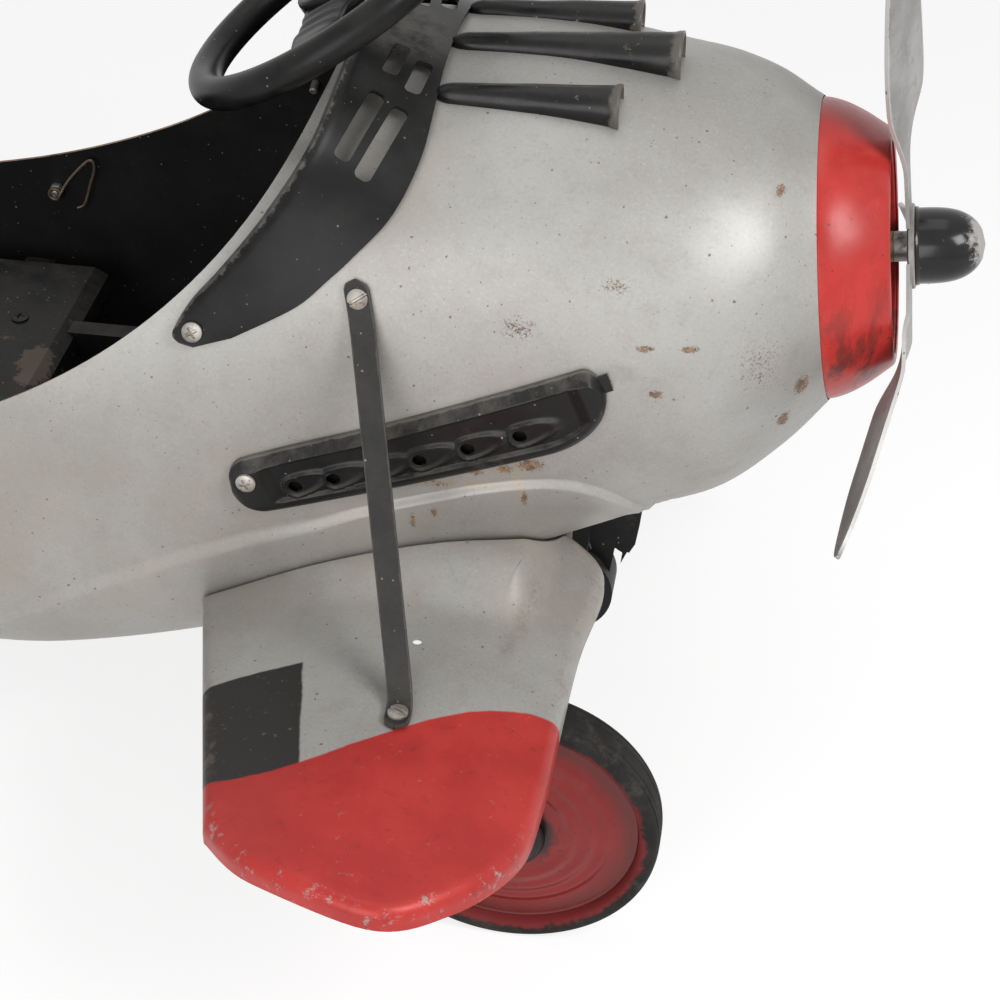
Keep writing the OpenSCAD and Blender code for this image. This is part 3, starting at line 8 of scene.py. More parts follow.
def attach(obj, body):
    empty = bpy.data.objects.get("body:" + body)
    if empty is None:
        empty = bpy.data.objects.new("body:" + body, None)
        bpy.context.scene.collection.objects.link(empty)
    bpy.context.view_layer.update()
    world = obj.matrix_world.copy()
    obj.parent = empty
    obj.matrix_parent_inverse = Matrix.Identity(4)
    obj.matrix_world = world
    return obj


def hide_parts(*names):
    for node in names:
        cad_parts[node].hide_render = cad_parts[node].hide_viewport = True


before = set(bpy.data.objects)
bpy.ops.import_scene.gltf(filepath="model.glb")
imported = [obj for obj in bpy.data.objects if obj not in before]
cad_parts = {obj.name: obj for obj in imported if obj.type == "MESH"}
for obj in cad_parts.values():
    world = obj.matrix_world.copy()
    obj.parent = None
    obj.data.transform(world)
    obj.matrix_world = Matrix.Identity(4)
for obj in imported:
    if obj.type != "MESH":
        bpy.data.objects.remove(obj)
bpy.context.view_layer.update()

scene = bpy.context.scene

# Camera at the photograph's viewing angle
eye = bpy.data.cameras.new("camera")
eye.lens = 82.8
eye.sensor_width = 36
camera = bpy.data.objects.new("camera", eye)
camera.location = (0.46971, -1.32347, 1.20351)
camera.rotation_euler = (radians(52.5), 0, radians(9.3))
scene.collection.objects.link(camera)
scene.camera = camera
scene.view_settings.view_transform = "Standard"


# Curves and sizes. Pieces are shaped in millimetres and scaled to metres at the end.
def lerp(a, b, t):
    return a + (b - a) * t


def clamp(t, low=0.0, high=1.0):
    return max(low, min(high, t))


def smooth(t):
    t = clamp(t)
    return t * t * (3 - 2 * t)


def signed_pow(v, p):
    return abs(v) ** p * (1 if v >= 0 else -1)


def through(keys, s):
    """Smooth curve through the keys; s counts keys from 0."""
    i = min(int(s), len(keys) - 2)
    t = s - i
    a, b, c, d = (keys[clamp(i + k, 0, len(keys) - 1)] for k in (-1, 0, 1, 2))
    return [q + 0.5 * t * (r - p + t * (2 * p - 5 * q + 4 * r - w + t * (3 * (q - r) + w - p)))
            for p, q, r, w in zip(a, b, c, d)]


def straight(keys, x):
    """Height at x of the straight lines through (x, height) keys."""
    for (a, p), (b, q) in zip(keys, keys[1:]):
        if x <= b:
            break
    return lerp(p, q, clamp((x - a) / (b - a)))


def bezier(p, t):
    u = 1 - t
    return [a * u ** 3 + b * 3 * t * u * u + c * 3 * t * t * u + d * t ** 3 for a, b, c, d in zip(*p)]


def grain(x, y, z, size, seed=0.0):
    """Soft unevenness between -1 and 1 with waves of about the size."""
    return noise.noise(Vector((x / size + seed, y / size - seed, z / size + 2 * seed)))


# Places on the plane, and the skin of the fuselage: x, top, bottom, half width and squareness of its sections
AXLE, TAIL_HUB, FORK_X = Vector((300, 0, 101.6)), Vector((-420, 0, 62.5)), -395
COCKPIT_BACK, COCKPIT_FRONT = -290, 158
WING_HOLE, STRUT_TOP, STRUT_FOOT, WALL_BOLT = (238, 236), (191, 443), (240, 296), (-130, 296)
THRUST = 7.5
COWL_X, COWL_Z, COWL_R = 472, 411, 100
COWL_H = COWL_R * cos(radians(THRUST))
NOSE_X = COWL_X - 95
SECTIONS = [
    (-560, 325, 240, 28, 2.2), (-500, 350, 212, 62, 2.3), (-400, 385, 165, 108, 2.5),
    (-300, 415, 112, 150, 2.7), (-200, 430, 88, 180, 2.9), (-104, 445, 85, 190, 3),
    (-40, 462, 88, 190, 3), (50, 495, 105, 182, 3), (150, 529, 131, 172, 2.9),
    (220, 538, 152, 168, 2.6), (300, 541, 195, 163, 2.35), (NOSE_X, 534, 230, 155, 2.1),
    (412, 531, 245, 147, 2), (445, 523, 280, 127, 2),
    (COWL_X, COWL_Z + COWL_H, COWL_Z - COWL_H, COWL_R, 2)]


def section(x):
    """Middle height, half height, half width, squareness and lean of the skin at x."""
    i = 0
    while i < len(SECTIONS) - 2 and x >= SECTIONS[i + 1][0]:
        i += 1
    a, b = SECTIONS[i], SECTIONS[i + 1]
    before, after = SECTIONS[max(i - 1, 0)], SECTIONS[min(i + 2, len(SECTIONS) - 1)]
    h = b[0] - a[0]
    t = (x - a[0]) / h
    top, bottom, half_w, square = (
        a[c] * (1 + 2 * t) * (1 - t) ** 2 + b[c] * t * t * (3 - 2 * t)
        + h * (b[c] - before[c]) / (b[0] - before[0]) * t * (1 - t) ** 2
        - h * (after[c] - a[c]) / (after[0] - a[0]) * t * t * (1 - t) for c in (1, 2, 3, 4))
    lean = tan(radians(THRUST)) * smooth((x - NOSE_X) / (COWL_X - NOSE_X))
    return (top + bottom) / 2, (top - bottom) / 2, half_w, square, lean


def skin_at(x, angle):
    mid, half_h, half_w, square, lean = section(x)
    v = half_h * signed_pow(sin(radians(angle)), 2 / square)
    return Vector((x - lean * v, half_w * signed_pow(cos(radians(angle)), 2 / square), mid + v))


def outward(x, p):
    """Direction from the middle of the section at x to a point on its skin."""
    return Vector((0, p[1], p[2] - section(x)[0])).normalized()


def skin_y(x, z):
    mid, half_h, half_w, square, _ = section(x)
    return half_w * (1 - min(1, abs(z - mid) / half_h) ** square) ** (1 / square)


def skin_top(x, y):
    mid, half_h, half_w, square, _ = section(x)
    return mid + half_h * (1 - min(1, abs(y) / half_w) ** square) ** (1 / square)


def skin_normal(x, z):
    mid, half_h, half_w, square, _ = section(x)
    return Vector((0, (skin_y(x, z) / half_w) ** (square - 1) / half_w,
                   signed_pow((z - mid) / half_h, square - 1) / half_h)).normalized()


def skin_point(x, z, lift=0.0):
    return Vector((x, skin_y(x, z), z)) + skin_normal(x, z) * lift


def sided(p, side):
    return Vector((p[0], p[1] * side, p[2]))


SIDES = {"left": 1, "right": -1}


# Mesh tools
def sheet_of(across, along, place, edge=None):
    """A grid of cells whose corners are put by place(u, v); edge(u, v) is kept as an attribute."""
    bm = bmesh.new()
    bmesh.ops.create_grid(bm, x_segments=across, y_segments=along, size=0.5)
    layer = bm.verts.layers.float.new("edge")
    for vert in bm.verts:
        u, v = round(vert.co.x + 0.5, 5), round(vert.co.y + 0.5, 5)
        vert[layer] = edge(u, v) if edge else 0
        vert.co = place(u, v)
    return bm


def placed(x, y, z, turn=0.0, axis="Z"):
    """A matrix that turns by degrees about an axis and then moves."""
    return Matrix.Translation((x, y, z)) @ Matrix.Rotation(radians(turn), 4, axis)


def moved(bm, at):
    bmesh.ops.transform(bm, matrix=at, verts=bm.verts)
    return bm


def weld(bm, dist=0.01):
    bmesh.ops.remove_doubles(bm, verts=bm.verts, dist=dist)


def turned(profile, steps=96, at=Matrix(), closed=False):
    """A profile of (radius, height) points turned about the Z axis and put at a matrix."""
    bm = bmesh.new()
    line = [bm.verts.new((r, 0, h)) for r, h in profile]
    pairs = list(zip(line, line[1:])) + ([(line[-1], line[0])] if closed else [])
    edges = [bm.edges.new(pair) for pair in pairs]
    bmesh.ops.spin(bm, geom=line + edges, cent=(0, 0, 0), axis=(0, 0, 1), angle=2 * pi, steps=steps,
                   use_merge=True)
    return moved(bm, at)


def rod(radius, low, high, steps, at):
    """A round bar along the Z axis of a matrix."""
    return turned([(0, low), (radius, low), (radius, high), (0, high)], steps, at)


def tube(points, radius, around=12, steps=4):
    """A round bar along a smooth curve through the points."""
    line = [Vector(through(points, s / steps)) for s in range(steps * (len(points) - 1) + 1)]
    sides = []
    side = Vector((0.3, 0.5, 0.8))
    for i in range(len(line)):
        along = (line[min(i + 1, len(line) - 1)] - line[max(i - 1, 0)]).normalized()
        side = (side - along * side.dot(along)).normalized()
        sides.append((side.copy(), along.cross(side)))

    def place(u, v):
        i = round(v * (len(line) - 1))
        a, b = sides[i]
        return line[i] + radius * (a * cos(2 * pi * u) + b * sin(2 * pi * u))
    bm = sheet_of(around, len(line) - 1, place)
    weld(bm)
    bmesh.ops.holes_fill(bm, edges=[e for e in bm.edges if e.is_boundary])
    return bm


def block(low, high):
    """A box between two corners."""
    bm = bmesh.new()
    bmesh.ops.create_cube(bm, size=1)
    low, high = Vector(low), Vector(high)
    bmesh.ops.scale(bm, vec=high - low, verts=bm.verts)
    bmesh.ops.translate(bm, vec=(low + high) / 2, verts=bm.verts)
    return bm


def joined(parts):
    whole = parts[0]
    for part in parts[1:]:
        mesh = bpy.data.meshes.new("part")
        part.to_mesh(mesh)
        part.free()
        whole.from_mesh(mesh)
        bpy.data.meshes.remove(mesh)
    return whole


def facing(at, out, along=(1, 0, 0)):
    """A matrix that puts the Z axis along out and the X axis near along."""
    z = Vector(out).normalized()
    x = Vector(along)
    x = (x - z * x.dot(z)).normalized()
    y = z.cross(x)
    return Matrix.Translation(at) @ Matrix((x, y, z)).transposed().to_4x4()


def mesh_object(name, bm):
    weld(bm)
    bmesh.ops.recalc_face_normals(bm, faces=bm.faces)
    bmesh.ops.scale(bm, vec=(0.001, 0.001, 0.001), verts=bm.verts)
    mesh = bpy.data.meshes.new(name)
    bm.to_mesh(mesh)
    bm.free()
    made = bpy.data.objects.new(name, mesh)
    scene.collection.objects.link(made)
    return made


def settled(made):
    """Replaces an object's mesh by the mesh that its modifiers make of it."""
    view = bpy.context.evaluated_depsgraph_get()
    old = made.data
    made.data = bpy.data.meshes.new_from_object(made.evaluated_get(view))
    made.modifiers.clear()
    bpy.data.meshes.remove(old)
    made.data.name = made.name


def piece(name, bm, finishes, nodes=(), body="airframe", sheet=0.0, side=-1, inner=0, rim=0, crease=35,
          cuts=(), soften=0.0):
    """Makes an object of a mesh: sheet is its wall, inside for side -1, and cuts are taken out of it."""
    made = mesh_object(name, bm)
    for finish in finishes:
        made.data.materials.append(finish.material)
    if sheet:
        wall = made.modifiers.new("wall", "SOLIDIFY")
        wall.thickness, wall.offset = sheet / 1000, side
        wall.use_even_offset = True
        wall.material_offset, wall.material_offset_rim = inner, rim
    if cuts:
        tools = [mesh_object("cut", cut) for cut in cuts]
        for tool in tools:
            opening = made.modifiers.new("opening", "BOOLEAN")
            opening.object, opening.operation, opening.solver = tool, "DIFFERENCE", "EXACT"
        settled(made)
        for tool in tools:
            bpy.data.objects.remove(tool)
    made.data.shade_smooth()
    made.data.set_sharp_from_angle(angle=radians(crease))
    if soften:
        round_edges = made.modifiers.new("soft edges", "BEVEL")
        round_edges.width, round_edges.segments = soften / 1000, 2
        round_edges.limit_method, round_edges.angle_limit = "ANGLE", radians(crease)
    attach(made, body)
    if nodes:
        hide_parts(*nodes)
    return made


AT_THRUST = placed(COWL_X, 0, COWL_Z, 90 - THRUST, "Y")
AT_COLUMN = placed(149, 0, 570, 147, "Y")


# Finishes
class Value:
    """A number or colour at a node's output, so that shader sums are plain expressions."""

    def __init__(self, finish, socket):
        self.finish, self.socket = finish, socket

    def other(self, output):
        return Value(self.finish, self.socket.node.outputs[output])

    def math(self, operation, a, b=0.0):
        return self.finish.node("Math", {0: a, 1: b}, operation=operation)

    def __add__(self, other):
        return self.math("ADD", self, other)

    def __sub__(self, other):
        return self.math("SUBTRACT", self, other)

    def __rsub__(self, other):
        return self.math("SUBTRACT", other, self)

    def __mul__(self, other):
        return self.math("MULTIPLY", self, other)

    __radd__, __rmul__ = __add__, __mul__

    def __abs__(self):
        return self.math("ABSOLUTE", self)

    def most(self, other):
        return self.math("MAXIMUM", self, other)

    def rise(self, low, high):
        """0 below low, 1 above high and a soft step between."""
        return self.finish.node("MapRange", {0: self, 1: low, 2: high}, interpolation_type="SMOOTHSTEP")

    def fall(self, low, high):
        return 1 - self.rise(low, high)


class Finish:
    """A procedural material on object coordinates, in metres."""

    def __init__(self, name, specular, metallic=0.0):
        self.material = bpy.data.materials.new(name)
        self.material.use_nodes = True
        self.tree = self.material.node_tree
        self.shader = self.tree.nodes["Principled BSDF"]
        self.shader.inputs["Specular IOR Level"].default_value = specular
        self.shader.inputs["Metallic"].default_value = metallic
        self.place = self.node("TexCoord").other("Object")
        self.x = self.node("SeparateXYZ", {0: self.place})
        self.y, self.z = abs(self.x.other(1)), self.x.other(2)
        self.mirrored = self.node("CombineXYZ", {0: self.x, 1: self.y, 2: self.z})

    def node(self, kind, sockets=None, **settings):
        made = self.tree.nodes.new("ShaderNode" + kind)
        for key, value in settings.items():
            setattr(made, key, value)
        for key, value in (sockets or {}).items():
            if isinstance(value, Value):
                self.tree.links.new(value.socket, made.inputs[key])
            elif made.inputs[key].type == "RGBA":
                made.inputs[key].default_value = (*value, 1)
            else:
                made.inputs[key].default_value = value
        return Value(self, made.outputs[0] if made.outputs else None)

    def set(self, socket, value):
        self.tree.links.new(value.socket, self.shader.inputs[socket])
        return self

    def mix(self, share, a, b):
        return self.node("Mix", {0: share, 6: a, 7: b}, data_type="RGBA").other(2)

    def clouds(self, size, detail=4, rough=0.6, shift=0.0, stretch=(1, 1, 1)):
        """Noise whose patches are about size millimetres."""
        where = self.node("Mapping", {0: self.place, 1: (shift, shift, shift), 3: stretch})
        return self.node("TexNoise", {"Vector": where, "Scale": 1000 / size, "Detail": detail, "Roughness": rough})

    def specks(self, size, share, shift=0.0):
        """Small ragged spots in cells of size millimetres, in about a share of the cells."""
        where = self.node("Mapping", {0: self.place, 1: (shift, shift, shift)})
        wobble = self.node("TexNoise", {"Vector": where, "Scale": 3500 / size, "Detail": 3.0})
        cell = self.node("TexVoronoi", {"Vector": where, "Scale": 1000 / size})
        pick = self.node("SeparateXYZ", {0: cell.other("Color")})
        reach = pick.other(1) * pick.other(1) * 0.20 + wobble * 0.34 - 0.12
        return pick.fall(share * 0.9, share) * (reach - cell).rise(0.0, 0.06)

    def vector(self, operation, a, b=(0, 0, 0)):
        return self.node("VectorMath", {0: a, 1: b}, operation=operation)

    def patch(self, *spot):
        """A soft spot about a point with its reach each way, in millimetres, the same on both sides."""
        at, reach = Vector(spot[:3]) / 1000, Vector(spot[3:]) / 1000
        away = self.vector("DIVIDE", self.vector("SUBTRACT", self.mirrored, at), reach)
        return self.vector("LENGTH", away).other(1).fall(0.1, 1.0)

    def patches(self, spots):
        """The soft spots about several places together."""
        whole = self.patch(*spots[0])
        for spot in spots[1:]:
            whole = whole.most(self.patch(*spot))
        return whole

    def ragged(self, spread, size, hold=0.5):
        """Breaks a soft spread up into grains of size millimetres."""
        level = 0.45 + hold * 0.4
        return (self.clouds(size, 6, 0.75, size) * 0.9 + spread * 0.5).rise(level, level + 0.08)

    def attribute(self, name):
        return self.node("Attribute", attribute_name=name).other("Fac")

    def coat(self, share, over):
        """Puts a share of a colour over the colour so far."""
        self.colour = self.mix(share, self.colour, over)

    def done(self, rough, height, depth, strength):
        """Sets the colour so far, the roughness and bumps of a height map, depth in millimetres."""
        self.set("Base Color", self.colour).set("Roughness", rough)
        return self.set("Normal", self.node(
            "Bump", {"Height": height, "Distance": depth / 1000, "Strength": strength}))

    def faces(self, axis):
        """How far the surface faces along an axis: 1 fully, 0 when square to it."""
        return self.node("SeparateXYZ", {0: self.node("NewGeometry").other("Normal")}).other(axis)

    def inward(self):
        """1 where the surface faces the middle of the plane from its side."""
        return 0 - self.faces(1) * self.x.math("SIGN", self.x.other(1))

    def off_axle(self, centre):
        """Distance from a line that crosses the plane through a point."""
        flat = self.node("CombineXYZ", {0: self.x, 2: self.z})
        return self.vector("DISTANCE", flat, centre).other(1)


RUST = (0.17, 0.075, 0.03)
OLD_RUST = (0.075, 0.038, 0.022)
DUST = (0.36, 0.31, 0.25)


def silver_base(f):
    """Aged silver paint: clouds of grime, a fine grain and brown specks. Gives its roughness and height."""
    broad, fine, grit = f.clouds(120, 5), f.clouds(16, 6, 0.7, 3), f.clouds(2.2, 3, 0.7, 8)
    f.colour = f.mix(broad.rise(0.30, 0.70), (0.34, 0.328, 0.306), (0.42, 0.412, 0.392))
    f.coat(fine.rise(0.48, 0.75) * 0.35, (0.29, 0.27, 0.24))
    f.coat(grit.rise(0.52, 0.70) * 0.22, (0.22, 0.20, 0.18))
    f.coat(grit.fall(0.32, 0.44) * 0.22, (0.56, 0.55, 0.53))
    f.coat(f.specks(4.5, 0.26) * 0.7, f.mix(fine.rise(0.45, 0.6), OLD_RUST, RUST))
    f.coat(f.specks(2.4, 0.16, 2) * 0.6, OLD_RUST)
    rough = 0.33 + broad * 0.12 + fine * 0.12
    return rough, fine + grit * 0.25


def fuselage_silver():
    f = Finish("fuselage_silver", 0.5, 0.25)
    rough, fine = silver_base(f)
    film = f.patches([(205, 110, 500, 75, 90, 70), (120, 178, 300, 230, 60, 90), (-120, 185, 290, 260, 60, 160),
                      (300, 162, 385, 60, 40, 45)])
    film = film * f.clouds(38, 6, 0.65, 5).rise(0.30, 0.66)
    f.coat(film * 0.45, (0.37, 0.325, 0.265))
    low = f.clouds(60, 5, 0.65, 11).rise(0.40, 0.66) * f.z.fall(0.20, 0.34)
    f.coat(low * 0.4, DUST)
    beige = f.patches([(286, 163, 325, 17, 40, 11), (292, 160, 311, 5, 40, 16), (247, 163, 312, 60, 40, 5)])
    f.coat(beige * f.clouds(7, 6, 0.7, 7).rise(0.40, 0.56) * 0.6, (0.42, 0.33, 0.21))
    heavy = f.patches([
        (299, 162, 330, 22, 40, 13), (283, 163, 326, 13, 40, 8), (264, 163, 323, 13, 40, 7),
        (223, 163, 281, 4.5, 40, 17), (237, 163, 289, 4.5, 40, 13), (295, 156, 302, 5.5, 40, 20),
        (464, 107, 374, 12, 30, 20), (455, 111, 348, 10, 30, 18), (368, 152, 420, 13, 40, 6),
        (395, 148, 420, 14, 40, 6), (376, 155, 389, 12, 40, 7), (440, 77, 495, 8, 30, 7)])
    thin = f.patches([(240, 163, 312, 34, 40, 9), (200, 164, 300, 26, 40, 8), (290, 150, 430, 34, 40, 24),
                      (335, 150, 395, 44, 40, 22), (347, 142, 457, 26, 40, 14), (430, 120, 400, 60, 60, 70)])
    rust = f.ragged((heavy * 0.92).most(thin * 0.70), 1.7, 0.84)
    f.coat(rust * 0.8, f.mix(f.clouds(5).rise(0.4, 0.6), (0.11, 0.048, 0.024), (0.30, 0.155, 0.062)))
    smear = f.patches([(352, 157, 403, 30, 40, 16), (418, 130, 310, 46, 40, 18)]) * f.clouds(9, 6, 0.75, 4)
    f.coat(smear.rise(0.2, 0.7) * 0.4, (0.20, 0.185, 0.165))
    return f.done(rough + rust * 0.35, fine * 0.5 + rust, 0.22, 0.5)


def wing_silver():
    f = Finish("wing_silver_and_red", 0.4, 0.10)
    rough, fine = silver_base(f)
    root = f.clouds(40, 5, 0.65, 4).rise(0.38, 0.62) * f.y.fall(0.17, 0.25)
    f.coat(root * 0.5, DUST)
    stain = f.patches([(312, 152, 244, 13, 17, 20), (306, 173, 238, 11, 22, 16), (300, 198, 236, 10, 24, 16),
                       (295, 222, 235, 9, 24, 16)])
    stain = stain * f.clouds(5, 6, 0.75, 7).rise(0.34, 0.62)
    f.coat(stain * 0.6, f.mix(f.clouds(4), (0.12, 0.085, 0.055), (0.30, 0.25, 0.17)))
    dabs = f.ragged(f.patches([(223, 157, 250, 14, 9, 7), (294, 150, 258, 9, 12, 7)]), 3, 0.6)
    # Painted shade in the gap between the wing's rolled root edge and the fuselage, on the faces turned towards the
    # fuselage, patched with old rust
    root_gap_shade_and_rust = f.inward().rise(0.45, 0.75) * f.y.fall(0.20, 0.22)
    f.coat(root_gap_shade_and_rust * 0.9, f.mix(f.clouds(12).rise(0.5, 0.66), (0.02, 0.018, 0.016), OLD_RUST))
    f.coat(dabs * 0.85, RUST)
    line = (f.clouds(30, 4, shift=1) - 0.5) * 0.012
    border = 0.369 - f.x.rise(0.140, 0.330) * 0.093
    red = (f.y - border + line * 0.4).rise(-0.001, 0.001)
    black = ((f.y + (f.x - 0.110) * 0.254 - 0.277 + line * 0.3).rise(-0.001, 0.001)
             * (0.169 + (f.y - 0.262) * 0.215 - f.x + line * 0.3).rise(-0.001, 0.001))
    chips = f.clouds(7, 6, 0.75, 9).rise(0.62, 0.68)
    edge = f.attribute("edge")
    scuffed = (edge + (f.clouds(11, 7, 0.8, 2) - 0.5) * 2.6).rise(1.14, 1.36) * f.y.rise(0.36, 0.42)
    dirty = (edge + (f.clouds(14, 6, 0.75, 6) - 0.5) * 2.2).rise(0.95, 1.3)
    f.coat(black * (1 - chips * 0.3), (0.016, 0.015, 0.014))
    paint = f.mix(f.clouds(50, 5).rise(0.35, 0.7), (0.44, 0.026, 0.022), (0.54, 0.038, 0.032))
    paint = f.mix(f.clouds(13, 6, 0.75, 12).rise(0.55, 0.70) * 0.5, paint, (0.25, 0.016, 0.015))
    f.coat(red * (1 - chips * 0.25), paint)
    f.coat(scuffed * red * 0.9, f.mix(f.clouds(6), (0.25, 0.20, 0.18), (0.50, 0.44, 0.41)))
    f.coat(dirty * (1 - red) * 0.35, (0.24, 0.17, 0.12))
    return f.done(rough - red * 0.06 + scuffed * 0.2, fine * 0.6 - chips * 0.4, 0.2, 0.6)


def red_paint(name, tone_and_shade=1.0, streaks=0.0, centre=None):
    """Old red enamel with chips, dark streaks or a greasy hub. Its scale makes darker copies for the wheel discs:
    partly darker paint, partly painted shade.
    """
    f = Finish(name, 0.35)
    broad, fine = f.clouds(60, 5), f.clouds(9, 6, 0.7, 3)
    # Darker for the wheel discs: partly their own darker paint, partly painted shade
    dark, pale = Vector((0.44, 0.026, 0.022)) * tone_and_shade, Vector((0.55, 0.040, 0.034)) * tone_and_shade
    f.colour = f.mix(broad.rise(0.33, 0.68), dark, pale)
    f.coat(fine.rise(0.52, 0.75) * 0.4, (0.28 * tone_and_shade, 0.018, 0.016))
    dull = f.clouds(22, 6, 0.75, 8).rise(0.56, 0.70)
    f.coat(dull * 0.14, (0.58 * tone_and_shade, 0.13, 0.11))
    chips = f.clouds(11, 7, 0.8, 6).rise(0.655, 0.69)
    f.coat(chips * 0.8, (0.12, 0.07, 0.055))
    f.coat(f.specks(5, 0.3) * 0.8, (0.045, 0.025, 0.02))
    rough = 0.22 + fine * 0.18 + dull * 0.2
    if streaks:
        runs = f.clouds(18, 5, 0.7, 5, (1, 1, 0.3)).rise(0.48, 0.62) * f.z.fall(0.36, 0.47)
        f.coat(runs * streaks, (0.07, 0.03, 0.025))
    if centre:
        away = f.off_axle(centre)
        grease = (away + (f.clouds(14, 5) - 0.5) * 0.035).fall(0.026, 0.036)
        f.coat(grease * 0.92, (0.02, 0.018, 0.018))
        ring = (away + (f.clouds(20, 5, shift=4) - 0.5) * 0.02).rise(0.070, 0.084)
        f.coat(ring * 0.55, (0.10, 0.035, 0.03))
    return f.done(rough, fine * 0.4 - chips, 0.25, 0.6)


def black_paint(name, dust=0.35, worn=0.3, gloss=0.34, edge_wear=0.0, worn_colour=(0.30, 0.25, 0.19), bare=(),
                rub=0.60):
    """Black enamel with dust on top, worn patches, specks and perhaps places rubbed bare."""
    f = Finish(name, 0.28)
    broad, fine = f.clouds(45, 5), f.clouds(6, 6, 0.7, 3)
    f.colour = f.mix(broad.rise(0.35, 0.7), (0.005, 0.005, 0.005), (0.013, 0.0125, 0.012))
    rubbed = f.clouds(19, 7, 0.75, 6).rise(rub, rub + 0.08)
    if bare:
        rubbed = rubbed.most(f.ragged(f.patches(bare), 12, 0.6))
    f.coat(rubbed * worn, worn_colour)
    lying = f.faces(2).rise(0.1, 0.95) * f.clouds(24, 6, 0.7, 9).rise(0.36, 0.66)
    f.coat(lying * dust, (0.17, 0.155, 0.135))
    f.coat(f.specks(3.4, 0.16) * 0.6, (0.38, 0.36, 0.32))
    if edge_wear:
        thin = (f.attribute("edge") + (f.clouds(9, 5, shift=4) - 0.5) * 1.1).rise(0.55, 0.85)
        f.coat(thin * edge_wear, (0.36, 0.33, 0.29))
    return f.done(gloss + fine * 0.25 + lying * 0.2, fine * 0.5 - rubbed * 0.6, 0.2, 0.6)


def moulded_black(name, dust, scuff, dusty=None):
    """Black moulded plastic: fine grain, scuffs on its edges, settled dust and perhaps a place with more of it."""
    f = Finish(name, 0.18)
    broad, fine = f.clouds(30, 5), f.clouds(1.6, 3, 0.6)
    f.colour = f.mix(broad.rise(0.35, 0.7), (0.005, 0.005, 0.005), (0.012, 0.012, 0.0115))
    lying = f.faces(2).rise(0.35, 1.0) * f.clouds(20, 6, 0.7, 9).rise(0.30, 0.68) * dust
    if dusty:
        lying = lying.most(f.patch(*dusty) * f.clouds(14, 6, 0.7, 2).rise(0.30, 0.60) * 0.8)
    f.coat(lying, (0.15, 0.14, 0.13))
    thin = (f.attribute("edge") + (f.clouds(7, 6, 0.7, 4) - 0.5) * 1.6).rise(0.75, 1.1)
    scuffs = f.clouds(15, 7, 0.8, 5, (1, 3, 1)).rise(0.64, 0.70)
    f.coat(thin.most(scuffs * 0.3) * 0.3, scuff)
    f.coat(f.specks(3.4, 0.14) * 0.5, (0.36, 0.34, 0.31))
    return f.done(0.28 + broad * 0.14 + thin * 0.3 + lying * 0.25, fine * 0.3 + scuffs * 0.5, 0.12, 0.5)


def rubber(name, centre=None):
    """Old rubber, with red paint on its inner part round a painted wheel."""
    f = Finish(name, 0.25)
    broad, fine = f.clouds(40, 5), f.clouds(3, 5, 0.7, 2)
    f.colour = f.mix(broad.rise(0.35, 0.7), (0.012, 0.011, 0.0105), (0.028, 0.026, 0.024))
    f.coat(f.clouds(16, 6, 0.75, 5).rise(0.50, 0.72) * 0.5, (0.10, 0.088, 0.075))
    if centre:
        near = (f.off_axle(centre) + (f.clouds(12, 6, 0.75, 7) - 0.5) * 0.016).fall(0.0905, 0.094)
        f.coat(near * 0.85, (0.20, 0.022, 0.022))
    return f.done(0.62 + fine * 0.3, fine, 0.25, 0.7)


def bare_metal(name, pale, dark, rust=0.5, rough=0.32, metallic=0.85):
    """Bare or plated metal, rubbed bright in places and stained in others."""
    f = Finish(name, 0.5)
    broad, fine = f.clouds(28, 5), f.clouds(4, 6, 0.7, 3)
    stain = f.clouds(13, 6, 0.75, 6).rise(0.54, 0.70)
    f.colour = f.mix(broad.rise(0.35, 0.7), dark, pale)
    f.coat(stain * rust, f.mix(fine, OLD_RUST, RUST))
    f.coat(f.specks(6, 0.25) * 0.7, OLD_RUST)
    f.set("Metallic", metallic - stain * rust * 0.7)
    return f.done(rough + fine * 0.22 + stain * 0.3, fine * 0.4 + stain * 0.4, 0.15, 0.6)


def blade_metal():
    """Grey painted sheet of the propeller, rubbed at its edges."""
    f = Finish("blade_metal", 0.5, 0.45)
    broad, fine = f.clouds(40, 5), f.clouds(5, 6, 0.7, 3)
    f.colour = f.mix(broad.rise(0.35, 0.7), (0.28, 0.27, 0.26), (0.42, 0.41, 0.40))
    stain = f.clouds(16, 6, 0.75, 6).rise(0.52, 0.70)
    f.coat(stain * 0.5, (0.18, 0.15, 0.125))
    thin = (f.attribute("edge") + (f.clouds(9, 5, shift=4) - 0.5) * 1.1).rise(0.55, 0.85)
    f.coat(thin * 0.6, (0.66, 0.65, 0.63))
    f.coat(f.specks(7, 0.3) * 0.7, OLD_RUST)
    return f.done(0.34 + fine * 0.2 + stain * 0.2, fine * 0.4, 0.15, 0.6)


def cap_black():
    """Black enamel of the spinner, worn pale at its tip."""
    f = Finish("spinner_black", 0.35)
    fine = f.clouds(5, 6, 0.7, 3)
    f.colour = f.mix(f.clouds(30).rise(0.35, 0.7), (0.005, 0.005, 0.005), (0.014, 0.0135, 0.013))
    tip = (f.x + f.z * 0.35 + (f.clouds(6, 7, 0.8) - 0.5) * 0.03).rise(0.712, 0.719)
    rubbed = f.clouds(7, 7, 0.8, 6).rise(0.655, 0.69)
    f.coat(tip.most(rubbed * 0.6) * 0.85, (0.52, 0.50, 0.47))
    return f.done(0.10 + fine * 0.14 + tip * 0.3, fine * 0.4 - tip * 0.5, 0.15, 0.5)


